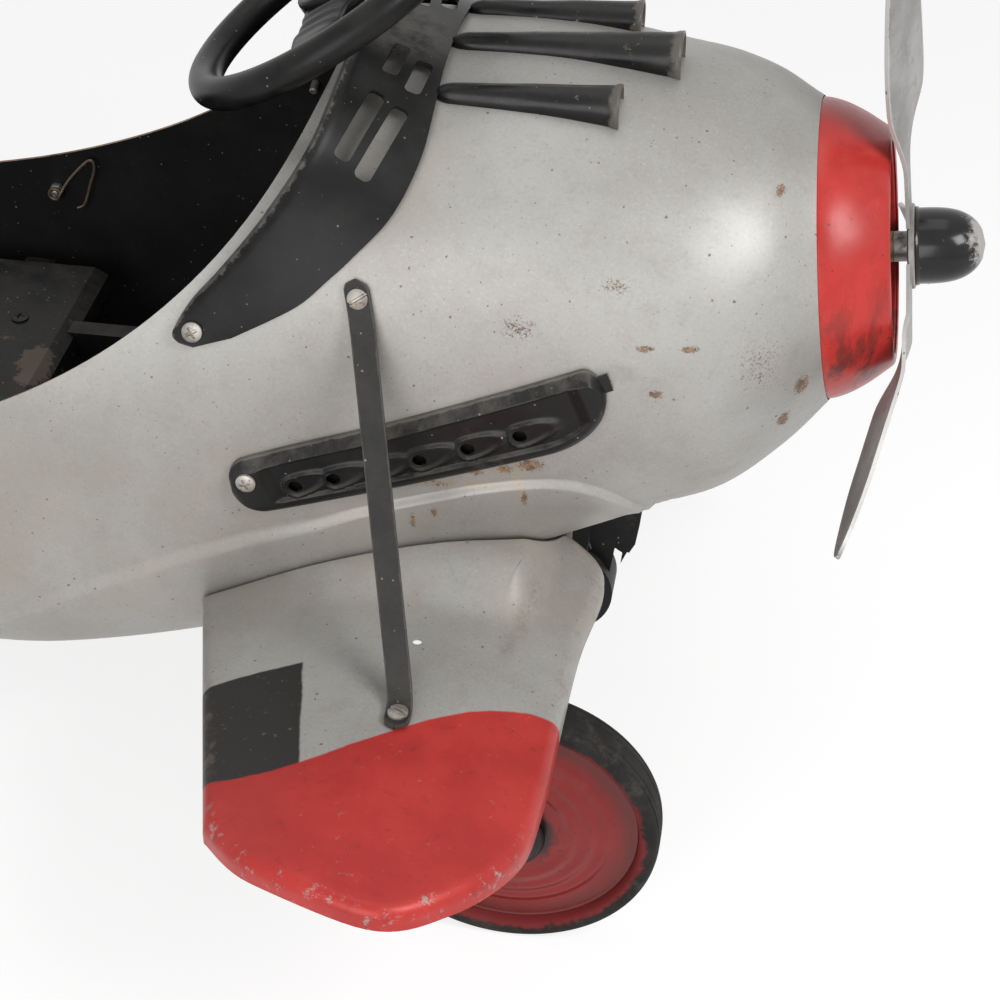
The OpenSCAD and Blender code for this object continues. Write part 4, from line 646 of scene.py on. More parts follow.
FUSELAGE_SILVER = fuselage_silver()
WING_SILVER = wing_silver()
COWL_RED = red_paint("cowl_red", streaks=0.8)
# The wheel discs take darker copies of the same red: partly their own darker paint, partly painted shade on their
# low, sideways faces
WHEEL_RED = red_paint("wheel_red", 0.46, centre=AXLE / 1000)
TAIL_RED = red_paint("tail_red")
TAIL_WHEEL_RED = red_paint("tail_wheel_red", 0.6, centre=TAIL_HUB / 1000)
GUN_BLACK = black_paint("gun_cover_black", 0.06, 0.75, 0.16, 0.30, (0.45, 0.39, 0.31),
                        bare=[(350, 0, 562, 20, 15, 10)], rub=0.655)
PLATE_BLACK = black_paint("exhaust_black", 0.55, 0.08, 0.24, 0.25)
STRAP_BLACK = black_paint("strut_black", 0.22, 0.10, 0.32, 0.14, (0.10, 0.085, 0.065))
FRAME_BLACK = black_paint("frame_black", 0.30, 0.25, 0.38, worn_colour=RUST)
CABIN_BLACK = black_paint("cabin_black", 0.12, 0.10, 0.50, worn_colour=(0.10, 0.08, 0.065))
SEAT_BLACK = black_paint("seat_black", 0.16, 0.55, 0.36, worn_colour=(0.24, 0.175, 0.13),
                         bare=[(-92, 0, 256, 28, 50, 14)])
HUB_BLACK = black_paint("hub_black", 0.2, 0.4, 0.30)
SHIELD_BLACK = moulded_black("windshield_black", 0.03, (0.34, 0.32, 0.30), (190, 0, 560, 80, 60, 40))
WHEEL_BLACK = moulded_black("steering_black", 0.10, (0.34, 0.27, 0.255))
TYRE_RUBBER = rubber("tyre_rubber", AXLE / 1000)
PEDAL_RUBBER = rubber("pedal_rubber")
STEEL = bare_metal("bare_steel", (0.52, 0.51, 0.49), (0.33, 0.32, 0.31))
SCREW_STEEL = bare_metal("screw_steel", (0.50, 0.47, 0.43), (0.20, 0.18, 0.16), 0.7, 0.36, 0.6)
CHAIN_STEEL = bare_metal("chain_steel", (0.30, 0.28, 0.26), (0.12, 0.11, 0.10), 0.6)
BRONZE = bare_metal("bronze", (0.55, 0.40, 0.20), (0.32, 0.22, 0.11), 0.3, 0.34, 0.9)
WIRE = bare_metal("old_wire", (0.30, 0.22, 0.15), (0.12, 0.085, 0.06), 0.3, 0.4, 0.6)
RAW_EDGE = bare_metal("raw_edge", (0.38, 0.27, 0.19), (0.17, 0.10, 0.065), 0.6, 0.45, 0.5)
BLADE = blade_metal()
CAP_BLACK = cap_black()

# Fuselage: rings from the left cockpit rim round the belly to the right rim
RIM_FRONT = [(158, 543), (116, 453), (-9, 330), (-205, 315)]
RIM_BACK = [(-205, 315), (-255, 315), (-290, 350), (-290, 440)]
rim_line = sorted([bezier(RIM_FRONT, i / 60) for i in range(61)] + [bezier(RIM_BACK, i / 60) for i in range(1, 61)])
RIDGE = [(-150, 120), (-65, 169), (-25, 195), (0, 208.5), (25, 219), (69, 239), (112, 256), (158, 271), (182, 282),
         (210, 293), (234, 300.5), (263, 309), (290, 314), (311, 315), (326, 313), (342, 305.5), (355, 293),
         (363, 280.5), (390, 215)]


def open_angle(x):
    """Half of the angle that the cockpit takes out of the section at x."""
    if not COCKPIT_BACK < x < COCKPIT_FRONT:
        return 0
    mid, half_h, _, square, _ = section(x)
    v = (straight(rim_line, x) - mid) / half_h
    return 0 if v >= 1 else 90 - degrees(asin(signed_pow(v, square / 2)))


def ridge_lift(x, z):
    """A step pressed out of the skin, crisp above the wing and soft towards the tail."""
    below = straight(RIDGE, x) - z
    crisp = smooth((x - 110) / 110)
    fade = smooth((x + 150) / 80) * smooth((392 - x) / 40)
    step = lerp(2.8, 4.4, crisp) * smooth(below / lerp(13, 5.5, crisp) + 0.6)
    return step * fade * (1 - 0.8 * smooth((below - 3) / 38)) * smooth((95 - below) / 40)


def angle_at(x, z):
    """Angle round the section at x whose skin is at height z."""
    mid, half_h, _, square, _ = section(x)
    return degrees(asin(signed_pow(clamp((z - mid) / half_h, -0.985, 1), square / 2)))


def through_stops(stops, v):
    """Angle at share v of half a ring; the ridge between the middle stops gets a third of the cells."""
    return straight(list(zip((0, 0.18, 0.33, 0.5), stops)), v)


def fuselage():
    rings = [lerp(SECTIONS[0][0], COCKPIT_BACK, i / 30) for i in range(30)]
    rings += [COCKPIT_BACK + 24 * (i / 12) ** 2 for i in range(12)]
    rings += [lerp(COCKPIT_BACK + 24, COCKPIT_FRONT - 40, i / 46) for i in range(46)]
    rings += [COCKPIT_FRONT - 40 * (1 - i / 28) ** 1.6 for i in range(28)]
    rings += [lerp(COCKPIT_FRONT, NOSE_X, i / 36) for i in range(36)]
    rings += [lerp(NOSE_X, COWL_X, i / 18) for i in range(19)]

    stops = []
    for x in rings:
        crest = straight(RIDGE, x)
        stops.append([90 - open_angle(x), angle_at(x, crest + 11), angle_at(x, crest - 9), -90])

    def place(u, v):
        i = round(u * (len(rings) - 1))
        x = rings[i]
        turn = through_stops(stops[i], min(v, 1 - v))
        p = skin_at(x, turn if v <= 0.5 else -180 - turn)
        dent = 0.5 * grain(*p, 70) * smooth((x + 540) / 60) * smooth((460 - x) / 40)
        return p + outward(x, p) * (ridge_lift(x, p[2]) * smooth((abs(p[1]) - 60) / 50) + dent)
    bm = sheet_of(len(rings) - 1, 200, place)
    weld(bm, 0.02)
    tail = [e for e in bm.edges if e.is_boundary and all(v.co.x < -555 for v in e.verts)]
    bmesh.ops.holes_fill(bm, edges=tail)
    axle_well, fork_hole = block((248, -64, 60), (362, 64, 232)), rod(14.4, 100, 232, 48, placed(FORK_X, 0, 0))
    cuts = [axle_well, fork_hole, rod(11, -10, 72, 48, AT_COLUMN)]
    piece("fuselage", bm, [FUSELAGE_SILVER, CABIN_BLACK, RAW_EDGE], ["fuselage_shell"],
          sheet=2, inner=1, rim=2, crease=40, cuts=cuts)


fuselage()


# Nose
def cowl_r(s):
    return lerp(99, 76, (max(0, s) / 44) ** 1.6)


def nose():
    outer = [(98, -4), (98.6, -0.6)] + [(cowl_r(s), s) for s in range(0, 38, 2)]
    lip = [(73.6 + 6 * cos(a), 38 + 6 * sin(a)) for a in [radians(35 + 12 * k) for k in range(8)]]
    lip += [(71.6 - 1.2 * sin(a), 42.2 - 1.2 * (1 - cos(a))) for a in [radians(30 * k) for k in range(4)]]
    inner = [(72, 36)] + [(cowl_r(s) - 2.2, s) for s in range(34, -2, -2)] + [(96, -4)]
    piece("nose_cowl_ring", turned(outer + lip + inner, 128, AT_THRUST, True), [COWL_RED],
          ["nose_cowl"])


nose()


# Propeller: three blades cut from sheet and twisted, one of them knocked back
BLADE_ROOT, BLADE_TIP, BEND_R = 23, 220, 62


def half_chord(r):
    u = (r - BLADE_ROOT) / (BLADE_TIP - BLADE_ROOT)
    tip = max(0, u - 0.45) / 0.55
    return max(0.6, 31 * (0.56 + 0.44 * smooth(u / 0.55)) * sqrt(max(0, 1 - tip ** 2.6)))


def propeller():
    parts = []
    for k in range(3):
        def place(u, v):
            r = lerp(BLADE_ROOT, BLADE_TIP, sin(pi / 2 * v))
            across = 2 * u - 1
            c, a = half_chord(r), radians(19 * smooth((r - BEND_R) / 48))
            back = tan(radians(15 if k == 1 else 0)) * max(0, r - BEND_R)
            up = 2.05 + c * 0.05 * (1 - across ** 2) + 0.5 * grain(r, 40 * across, 300 * k, 45)
            y = c * across
            return (-r, y * cos(a) - up * sin(a), y * sin(a) + up * cos(a) - back)
        blade = sheet_of(20, 48, place, lambda u, v: max(abs(2 * u - 1) ** 8, v ** 20))
        moved(blade, placed(0, 0, 0, 120 * k))
        bmesh.ops.solidify(blade, geom=blade.faces[:], thickness=2.5)
        parts.append(blade)
    parts.append(turned([(6, 0), (27, 0), (28, 1), (28, 3.9), (27, 4.7), (6, 4.7)], 64, closed=True))
    bm = moved(joined(parts), AT_THRUST @ placed(0, 0, 52.5))
    piece("propeller_blades", bm, [BLADE], ["propeller"], "propeller", soften=0.5)
    cap = [(6, 0), (25.6, 0), (26, 0.8), (25.6, 2.4), (25, 3)]
    cap += [(25 * (1 - t ** 3.2) ** 0.5, 3 + 42 * t) for t in [i / 22 for i in range(1, 22)]] + [(0, 45)]
    piece("spinner_cap", turned(cap, 96, AT_THRUST @ placed(0, 0, 57.2)), [CAP_BLACK], ["spinner"],
          "propeller")


propeller()


# Gun covers: pressed tapered tubes with rounded tails, let into the skin
def gun_cover(name, node, y, length, muzzle_r):
    tail_x = 226.2
    ends = [Vector((x, y, skin_top(x, y) + r * k)) for x, r, k in
            [(tail_x, 7, 0.2), (tail_x + length, muzzle_r, 0.32)]]
    along = (ends[1] - ends[0]).normalized()
    middle = tail_x + length / 2
    out = sided(skin_normal(middle, skin_top(middle, y)), 1 if y > 0 else -1) if y else Vector((0, 0, 1))
    out = (out - along * out.dot(along)).normalized()
    across = out.cross(along)

    def place(u, v):
        t = lerp(-0.035, 1, v ** 1.25)
        r = lerp(7, muzzle_r, clamp(t))
        c = ends[0].lerp(ends[1], t)
        if t < 0.06:
            r *= sqrt(max(0.0004, 1 - ((0.06 - t) / 0.097) ** 2))
        lip = 0.9 * smooth((t - 0.955) / 0.02)
        height = (c - Vector((c.x, c.y, skin_top(c.x, c.y)))).dot(out)
        start = asin(clamp((height + 1.3) / r, -0.99, 0.99))
        a = lerp(-start, pi + start, u)
        dent = 0.35 * grain(c.x, 30 * cos(a), 30 * sin(a), 22, y / 50)
        rr = r + lip + dent * smooth(t / 0.1)
        return c + across * rr * cos(a) + out * rr * sin(a)
    bm = sheet_of(40, 64, place, lambda u, v: smooth((v - 0.9) / 0.1))
    piece(name, bm, [GUN_BLACK], [node], sheet=1.6)


gun_cover("left_gun_cover", "gun_cover_left", 60, 112, 14)
gun_cover("middle_gun_cover", "gun_cover_center", 0, 144, 17)
gun_cover("right_gun_cover", "gun_cover_right", -60, 112, 14)

# Windshield: keys of angle round the section, back edge from SHIELD_X, share of SHIELD_LENGTH
SHIELD = [(19, -79, 0.38), (21, -89, 0.92), (23.5, -91.5, 1.26), (28, -80, 1.33), (33, -60, 1.25), (42, -33, 1.16),
          (54, -10, 1), (67, 0, 0.9), (90, 5, 0.8)]
# Its slots: angle and share of the length at each end
SHIELD_SLOTS = [(54, 0.28, 71, 0.40), (50, 0.57, 68, 0.67), (76.5, 0.43, 85, 0.48), (72.5, 0.72, 82, 0.78)]


SHIELD_X, SHIELD_LENGTH = 167, 64


def shield_point(key, v, depth=0.0):
    angle, back, share = key
    x = SHIELD_X + back + SHIELD_LENGTH * share * v
    p = skin_at(x, angle)
    high = lerp(5, 28, smooth(1.1 * sin(pi / 2 * clamp((angle - 19) / 71))))
    curl = 1.6 * smooth((0.07 - v) / 0.07) * smooth((angle - 24) / 10)
    return p + outward(x, p) * (0.4 + lerp(high, 4, v ** 0.8) + curl - depth)


def shield_key(angle):
    return [angle] + [straight([(k[0], k[i]) for k in SHIELD], angle) for i in (1, 2)]


def windshield():
    def place(u, v):
        m = abs(2 * u - 1)
        p = shield_point(through(SHIELD, 8 * (1 - m)), v)
        return sided(p, 1 if u < 0.5 else -1)
    bm = sheet_of(180, 24, place, lambda u, v: max(smooth((0.1 - v) / 0.1), 0.7 * smooth((v - 0.93) / 0.07)))
    cuts = []
    for a0, v0, a1, v1 in SHIELD_SLOTS:
        begin, end = shield_point(shield_key(a0), v0, 2), shield_point(shield_key(a1), v1, 2)
        mid, v = shield_key((a0 + a1) / 2), (v0 + v1) / 2
        ahead = shield_point(mid, v + 0.1) - shield_point(mid, v - 0.1)
        out = (end - begin).cross(ahead)
        half = (end - begin).length / 2
        for side in (1, -1):
            slot = block((-half, -5.5, -16), (half, 5.5, 16))
            upright = [e for e in slot.edges if abs(e.verts[0].co.z - e.verts[1].co.z) > 1]
            bmesh.ops.bevel(slot, geom=upright, offset=3.6, affect="EDGES", segments=5, profile=0.5, material=-1)
            at = facing(sided((begin + end) / 2, side), sided(out, side), sided(end - begin, side))
            cuts.append(moved(slot, at))
    piece("windshield", bm, [SHIELD_BLACK], ["windshield_frame"], sheet=4,
          cuts=cuts, soften=0.7)


windshield()

# Exhaust plates: d runs along the plate from its back end and q across it, upwards
RISE = radians(21.5)
PLATE_LENGTH, PLATE_END = 256, 17
HOLES = [lerp(43, 196, k / 5) - 27 * k / 5 * (1 - k / 5) for k in range(6)]


def exhaust_spot(d, q):
    d -= PLATE_END
    return (122 + d * cos(RISE) - q * sin(RISE), 306 + d * sin(RISE) + q * cos(RISE))


def round_end(into, length):
    return sqrt(max(0, 1 - (max(0, into) / length) ** 2))


def exhaust_reach(d):
    """How far the plate goes up and how far down at d."""
    back = round_end(PLATE_END - d, PLATE_END)
    return ((PLATE_END + 4 * (1 - smooth(2 * d / PLATE_LENGTH))) * back * round_end(d - PLATE_LENGTH + 10, 10),
            (PLATE_END + 19 * sqrt(d / PLATE_LENGTH)) * back * round_end(d - PLATE_LENGTH + 50, 50))


def hole_q(d):
    up, low = exhaust_reach(d)
    return (up - low) / 2 - 5


def exhaust_high(d, q):
    """Height of the pressed plate over the skin: sloped brow, sunk face with blisters and rolled lower lip."""
    up, low = exhaust_reach(d)
    end = lerp(0.4, 1, smooth((up + low) / 34))
    brow, lip = clamp((up - q) / 8), clamp((q + low) / 8)
    form = 10 * end * min(0.3 + 0.7 * brow, 0.35 + 0.65 * sqrt(1 - (1 - lip) ** 2))
    sunk = smooth((d - 24) / 9) * smooth((244 - d) / 9) * smooth((up - 7 - q) / 2.2) * smooth((q + low - 8) / 2.5)
    blister = 0
    for hole in HOLES:
        ahead = d - hole
        away = hypot(ahead * (0.29 if ahead > 0 else 1), (q - hole_q(hole) - max(0, ahead) * 0.05) * 0.92)
        blister = max(blister, exp(-((away - 6.9) / 1.25) ** 2) + 0.45 * smooth((7 - away) / 2))
    return form - 2.6 * sunk + 2.1 * blister * sunk


def exhaust_plate(label, side):
    def place(u, v):
        d = PLATE_LENGTH / 2 * (1 - cos(pi * lerp(0.004, 0.996, v)))
        up, low = exhaust_reach(d)
        skirt = clamp(min(u, 1 - u) / 0.03)
        q = lerp(-max(low, 0.3), max(up, 0.3), clamp((u - 0.03) / 0.94))
        x, z = exhaust_spot(d, q)
        return sided(skin_point(x, z, lerp(0.3, exhaust_high(d, q), skirt)), side)
    bm = sheet_of(90, 340, place, lambda u, v: smooth((abs(2 * u - 1) - 0.82) / 0.12))

    # A black strip just over the skin behind the holes: a dark sheet standing in as painted shade for the inside of
    # the pressed plate
    def hole_shade_strip(u, v):
        d = lerp(33, 206, v)
        x, z = exhaust_spot(d, hole_q(d) + lerp(-7, 7, u))
        return sided(skin_point(x, z, 1.6), side)

    def lug(u, v):
        x, z = exhaust_spot(lerp(246, 261, v), lerp(-3, 9, u))
        return sided(skin_point(x, z, lerp(2.8, 2.2, v)), side)
    bm = joined([bm, sheet_of(4, 60, hole_shade_strip), sheet_of(6, 8, lug)])
    cuts = []
    for hole in HOLES:
        x, z = exhaust_spot(hole, hole_q(hole))
        at = facing(sided(skin_point(x, z), side), sided(skin_normal(x, z), side))
        cuts.append(rod(4.6, 2.2, 14, 24, at))
    piece(label + "_exhaust_plate", bm, [PLATE_BLACK], ["exhaust_plate_" + label],
          sheet=1.4, cuts=cuts)


for label, side in SIDES.items():
    exhaust_plate(label, side)


# Wings: rings of the outline from the middle out over the rolled edge and down the flange
WING_MIDDLE, WING_SWELL, WING_GAP, ROLL = Vector((250, 300)), 24, 2.4, 8


def wing_top(x, y):
    swell = WING_SWELL * smooth((x - 85) / 190) * smooth((316 - x) / 26) * smooth((206 - y) / 50)
    return 238 - 38 * ((x - 225) / 150) ** 2 + swell


ROOT_X = (75, 316)
ROOT_BACK, ROOT_FRONT = (Vector((x, max(skin_y(x, wing_top(x, 0)), 70))) for x in ROOT_X)
WING_KEYS = [(141, 405), (178, 439), (253, 465), (297, 440), (328, 392), (335, 340), (336, 275), (338, 195),
             ROOT_FRONT + Vector((29, 38)), ROOT_FRONT + Vector((22, 15)), ROOT_FRONT]


def wing_outline():
    edge = [ROOT_BACK.lerp(Vector(WING_KEYS[0]), t / 22) for t in range(22)]
    return edge + [Vector(through(WING_KEYS, i / 9)) for i in range(9 * (len(WING_KEYS) - 1) + 1)]


WING_LINE = wing_outline()


def wing_ring(inset, drop, share=1.0):
    plan = []
    for i in range(1, len(WING_LINE) - 1):
        d = (WING_LINE[i + 1] - WING_LINE[i - 1]).normalized()
        plan.append(WING_LINE[i] + inset * Vector((d[1], -d[0])))
    for k in range(49):
        x = lerp(ROOT_X[1] - inset, ROOT_X[0] + inset, k / 48)
        plan.append(Vector((x, max(skin_y(x, wing_top(x, 0) - drop) + WING_GAP + 0.35 * inset, 70))))
    ring = []
    for p in plan:
        q = WING_MIDDLE.lerp(p, share)
        ring.append(Vector((q[0], q[1], wing_top(q[0], q[1]) - drop)))
    return ring


def wing(label, side):
    rings = [wing_ring(ROLL, 0, i / 26) for i in range(27)]
    rings += [wing_ring(ROLL * (1 - sin(a)), ROLL * (1 - cos(a))) for a in [pi / 16 * i for i in range(1, 9)]]
    rings += [wing_ring(0, drop) for drop in (10.7, 13.4, 16)]
    last, count = len(rings) - 1, len(rings[0])

    def place(u, v):
        p = rings[round(v * last)][round(u * count) % count]
        flat = smooth((1 - v) / 0.3)
        return sided(p + Vector((0, 0, 0.7 * grain(p[0], p[1], 0, 60, side) * flat)), side)
    bm = sheet_of(count, last, place, lambda u, v: smooth((v - 0.62) / 0.1))
    hole = rod(3.2, 180, 260, 32, placed(WING_HOLE[0], WING_HOLE[1] * side, 0))
    piece(label + "_wing", bm, [WING_SILVER], ["wing_" + label], sheet=2,
          crease=45, cuts=[hole])


for label, side in SIDES.items():
    wing(label, side)


# Wing struts: flat straps bent on to the fuselage and the wing
def strut(label, side):
    top, foot = skin_point(*STRUT_TOP, 0.4), Vector((*STRUT_FOOT, 238.4))
    n = skin_normal(*STRUT_TOP)
    down = (foot - top - n * (foot - top).dot(n)).normalized()
    line = [top - down * 12, top + down * 12, foot, foot + Vector((0, 24, 0))]
    for _ in range(3):
        cut = [line[0]]
        for a, b in zip(line, line[1:]):
            near = min(0.25, 9 / (b - a).length)
            cut += [a.lerp(b, near), a.lerp(b, 1 - near)]
        line = cut + [line[-1]]
    reach = [0.0]
    for a, b in zip(line, line[1:]):
        reach.append(reach[-1] + (b - a).length)

    def at(s):
        i = max(k for k in range(len(reach) - 1) if reach[k] <= s + 1e-6)
        return line[i].lerp(line[i + 1], clamp((s - reach[i]) / (reach[i + 1] - reach[i])))

    def place(u, v):
        s = reach[-1] * v
        tangent = (at(min(s + 1.5, reach[-1])) - at(max(s - 1.5, 0))).normalized()
        out = tangent.cross(Vector((1, 0, 0)))
        out = out.normalized() * (1 if out.z > 0 or out.y > 0 else -1)
        end = max(8 - s, s - reach[-1] + 8, 0)
        half = max(0.4, sqrt(max(0, 64 - end * end)))
        return sided(at(s) + Vector((half * (2 * u - 1), 0, 0)) + out * 1.6, side)
    bm = sheet_of(8, 90, place, lambda u, v: abs(2 * u - 1) ** 6)
    piece(label + "_wing_strut", bm, [STRAP_BLACK], ["wing_strut_" + label], sheet=3, side=0,
          soften=0.6)


for label, side in SIDES.items():
    strut(label, side)


# Screws and bolts
def head(radius, height, cross):
    """A domed head with a cross or one slot pressed into it."""
    def place(u, v):
        a, r = 2 * pi * u, radius * min(1, v / 0.86)
        x, y = r * cos(a), r * sin(a)
        dome = height * sqrt(max(0, 1 - (0.86 * r / radius) ** 2))
        z = dome if v <= 0.86 else lerp(height * 0.5, -0.2, (v - 0.86) / 0.14)
        arm = 0.62 * radius if cross else 2 * radius
        wide = 0.13 * radius
        cut = smooth((wide + 0.25 - abs(y)) / 0.5) * smooth((arm - abs(x)) / 0.6)
        if cross:
            cut = max(cut, smooth((wide + 0.25 - abs(x)) / 0.5) * smooth((arm - abs(y)) / 0.6))
        return (x, y, z - 0.5 * height * cut)
    bm = sheet_of(72, 28, place)
    weld(bm)
    return bm


def fastener(at, length, cross=True, nut=0.0, radius=6.5):
    """A screw with its head's seat at the matrix, a shank below it and perhaps a nut."""
    shank = [(0, 0.1), (3, 0.1), (3, -length + 0.8), (2.2, -length), (0, -length)]
    parts = [head(radius, 3, cross), turned(shank, 20)]
    if nut:
        ring = [(3, 0), (5.6, 0), (6, 0.6), (6, 5.2), (5.6, 5.8), (3, 5.8)]
        parts.append(turned([(r, -nut - h) for r, h in ring], 6, closed=True))
    return moved(joined(parts), at)


def skin_fastener(x, z, lift, side, cross=True, turn=0.0, nut=0.0):
    n = sided(skin_normal(x, z), side)
    at = facing(sided(skin_point(x, z, lift), side), n) @ placed(0, 0, 0, turn)
    return fastener(at, lift + 12, cross, nut)


both = SIDES.values()
piece("windshield_screw_pair", joined([skin_fastener(88, 416, 6.2, s, turn=30) for s in both]), [SCREW_STEEL],
      ["windshield_screws"])
piece("exhaust_plate_screws", joined([
    skin_fastener(*exhaust_spot(15, 7), 10.0, s, turn=20) for s in both]),
    [SCREW_STEEL], ["exhaust_screws"])
piece("strut_bolt_set", joined(
    [skin_fastener(*STRUT_TOP, 3.4, s, False, 35) for s in both]
    + [fastener(placed(STRUT_FOOT[0], (STRUT_FOOT[1] + 12) * s, 241.4, -25), 17, False, 6) for s in both]),
    [SCREW_STEEL], ["strut_bolts"])
piece("seat_bolt_set", joined([fastener(placed(x, 60 * s, 255), 11) for s in both for x in (-124, -214)]),
      [HUB_BLACK], ["seat_bolts"])
piece("wall_bolt_pair", joined([skin_fastener(*WALL_BOLT, 0.4, s, nut=2.8) for s in both]), [STEEL])


# A wire loop twisted round the bolt in the cockpit wall
def wire_loop():
    bolt = skin_point(*WALL_BOLT, -10.5)
    angles = [pi / 4 * k for k in range(-3, 9)]
    turn = [(bolt.x + 4.4 * cos(a), bolt.y - 0.3 * a, bolt.z + 4.4 * sin(a)) for a in angles]
    bend = [(-118, 308), (-103, 325), (-97, 328), (-96, 320), (-101, 305), (-107, 288), (-113, 284)]
    hang = [tuple(skin_point(x, z, -8 - 0.5 * i)) for i, (x, z) in enumerate(bend)]
    piece("wall_bolt_wire", tube(turn + hang, 1.1, 10, 5), [WIRE])


wire_loop()


# Wheels: a pressed disc with rings, a ribbed tyre and a domed cap
WHEEL_R = 87.4


def disc_face(r):
    rib = 0.6 * (1 - cos(2 * pi * (r - 38) / 11.5)) if 38 < r < 72.5 else 0
    return -8 + 6 * smooth((83 - r) / 40) + rib


def tyre_line(low_r, high_r, width, ribs):
    """Section of a tyre between two radii, with grooves round its tread, from height -width to 0."""
    mid, half = (high_r + low_r) / 2, (high_r - low_r) / 2
    line = []
    for i in range(160):
        a = 2 * pi * i / 160
        r, h = mid + half * signed_pow(sin(a), 0.5), width / 2 * signed_pow(cos(a), 0.5)
        if sin(a) > 0.3 and abs(h) < width * 0.42:
            r -= 0.9 * smooth((cos(2 * pi * h / (width * 0.84 / ribs)) - 0.35) / 0.4)
        line.append((r, h - width / 2))
    return line


def main_wheel(label, side, body):
    at = placed(AXLE.x, 262 * side, AXLE.z, -90 * side, "X")
    radii = [lerp(16, 85.8, i / 110) for i in range(111)]
    line = [(8, -40), (15, -40), (16, -39)] + [(r, disc_face(r) - 1.6) for r in radii]
    line += [(85.8, -29), (WHEEL_R, -29), (WHEEL_R, disc_face(WHEEL_R)), (86.8, disc_face(86.8) + 0.5)]
    line += [(r, disc_face(r)) for r in reversed(radii)] + [(16, 2.4), (15.4, 3), (8, 3)]
    piece(label + "_wheel_disc", turned(line, 144, at, True), [WHEEL_RED], ["wheel_disc_" + label], body)
    piece(label + "_tyre", turned(tyre_line(WHEEL_R, AXLE.z, 32, 5), 160, at, True), [TYRE_RUBBER],
          ["tyre_" + label], body, crease=50)
    dome = [(26 * sqrt(max(0, cos(a))), 3 + 9 * sin(a)) for a in [pi / 2 * i / 20 for i in range(21)]]
    step = [(r, h - (0.5 if 17 < r < 22 else 0)) for r, h in dome]
    piece(label + "_hub_cap", turned([(10.5, 3), (26.3, 3)] + step, 96, at), [HUB_BLACK],
          ["hub_cap_" + label], body)


main_wheel("right", -1, "drive_axle")
main_wheel("left", 1, "left_wheel")


# Steering wheel: round rim, three spokes and a hub, all with moulded folds
def steering_wheel():
    rim = [(104 + 10.9 * cos(a) * (1 - 0.08 * (cos(a) < -0.5)), 10.9 * sin(a)) for a in
           [2 * pi * i / 36 for i in range(36)]]
    parts = [turned(rim, 144, closed=True)]
    for angle in (180, 90, -90):
        def place(u, v):
            r = lerp(14, 100, v)
            wide = lerp(20, 14, v) + 1.2 * sin(2 * pi * v * 2.2) + 2.5 * smooth((v - 0.9) / 0.1)
            fold = 0.8 * sin(2 * pi * v * 6) * smooth((0.75 - v) / 0.3)
            a = 2 * pi * u
            return (r, wide * signed_pow(cos(a), 0.7), -0.5 + (4.5 + fold) * signed_pow(sin(a), 0.8))
        spoke = sheet_of(32, 60, place)
        parts.append(moved(spoke, placed(0, 0, 0, angle)))
    front = [(lerp(26, 8, t), lerp(-8, -15.5, t) - 1.0 * sin(2 * pi * 3 * t) * (1 - t)) for t in
             [i / 30 for i in range(31)]]
    hub = [(0, -16), (6, -16)] + front[::-1] + [(26.4, -6), (26.4, 6), (25.4, 8), (16, 12), (0, 12)]
    parts.append(turned(hub, 96))
    piece("steering_wheel_rim", moved(joined(parts), AT_COLUMN), [WHEEL_BLACK],
          ["steering_wheel"], "steering", crease=50)


steering_wheel()


# Tail wheel tyre
at_tail = placed(TAIL_HUB.x, 12, TAIL_HUB.z, -90, "X")
piece("tail_wheel_tyre", turned(tyre_line(46, TAIL_HUB.z, 24, 4), 128, at_tail, True), [TYRE_RUBBER],
      ["tail_tyre"], "tail_wheel", crease=50)

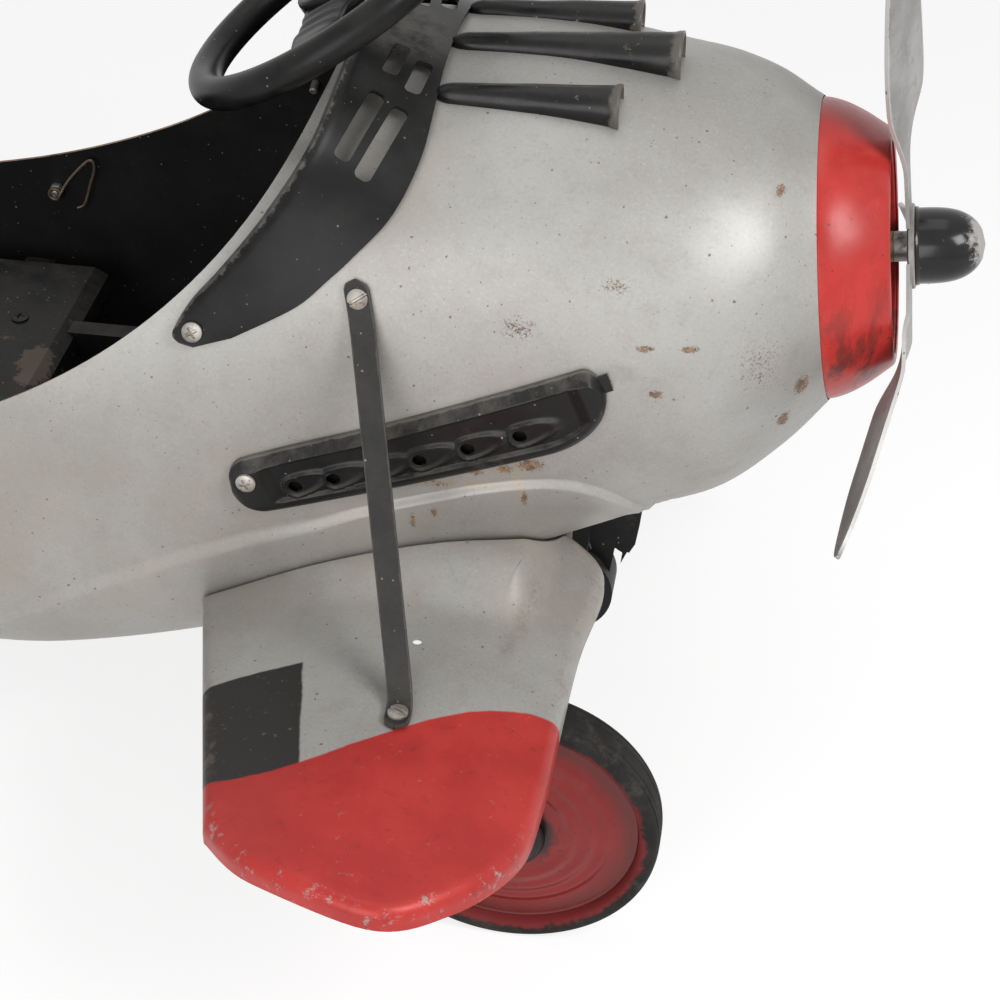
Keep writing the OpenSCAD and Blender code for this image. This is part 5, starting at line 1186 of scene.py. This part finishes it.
# Finishes of the pieces whose shape comes straight from the frame
PLAIN = {
    FRAME_BLACK: ["nose_bulkhead", "frame_rail_left", "frame_rail_right", "frame_cross_members", "axle_hanger_left",
                  "axle_hanger_right", "axle_bracket", "chain_guard", "crank_hangers", "column_bracket", "rod_guide",
                  "tail_fork", "tail_tiller", "steering_arm"],
    SEAT_BLACK: ["seat_pan", "seat_back"],
    TAIL_RED: ["tail_fin", "tailplane"],
    TAIL_WHEEL_RED: ["tail_wheel_disc"],
    STEEL: ["tail_bearing", "prop_shaft", "main_axle", "crank_shaft", "steering_column", "drag_link", "tail_axle"],
    CHAIN_STEEL: ["chain", "axle_sprocket", "crank_sprocket"],
    BRONZE: ["prop_bush", "axle_bushes", "column_bush"],
    PEDAL_RUBBER: ["pedal_left", "pedal_right"]}
for finish, nodes in PLAIN.items():
    for name in nodes:
        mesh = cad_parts[name].data
        mesh.materials.clear()
        mesh.materials.append(finish.material)


# Floor, white background and lamps
class Ground(Finish):
    """A material or world without a surface shader of its own."""

    def __init__(self, tree):
        self.tree = tree
        rays = self.node("LightPath")
        self.seen = rays.other("Is Camera Ray")
        for kind in ("Glossy", "Transmission"):
            self.seen = self.seen.most(rays.other("Is " + kind + " Ray"))


def floor():
    bm = bmesh.new()
    bmesh.ops.create_grid(bm, x_segments=1, y_segments=1, size=6000)
    made = mesh_object("floor", bm)
    paint = bpy.data.materials.new("floor_white")
    paint.use_nodes = True
    paint.node_tree.nodes.clear()
    g = Ground(paint.node_tree)
    pale = g.node("BsdfDiffuse", {"Color": (0.85, 0.85, 0.85)})
    shade = g.node("BsdfDiffuse", {"Color": (0.32, 0.32, 0.32)})
    glow = g.node("Emission", {"Color": (1, 1, 1), "Strength": 0.78})
    lit = g.node("AddShader", {0: shade, 1: glow})
    whole = g.node("MixShader", {0: g.seen, 1: pale, 2: lit})
    g.node("OutputMaterial", {0: whole})
    made.data.materials.append(paint)


def lights():
    world = bpy.data.worlds.new("studio")
    scene.world = world
    world.use_nodes = True
    world.node_tree.nodes.clear()
    g = Ground(world.node_tree)
    back = g.node("Background", {"Color": (1, 1, 1), "Strength": 0.26 + g.seen * 0.74})
    g.node("OutputWorld", {0: back})
    for name, at, aim, size, watts in [
            ("left", (-0.1, -2.0, 0.85), (0.1, 0, 0.35), 1.3, 17),
            ("right", (1.6, -0.95, 1.7), (0.3, 0, 0.35), 0.8, 23),
            ("top", (0.1, 0.3, 2.6), (0.1, 0, 0.3), 1.4, 6)]:
        lamp = bpy.data.lights.new(name, "AREA")
        lamp.size, lamp.energy = size, watts
        made = bpy.data.objects.new(name, lamp)
        made.location = at
        made.rotation_euler = (Vector(aim) - Vector(at)).to_track_quat("-Z", "Y").to_euler()
        scene.collection.objects.link(made)


floor()
lights()
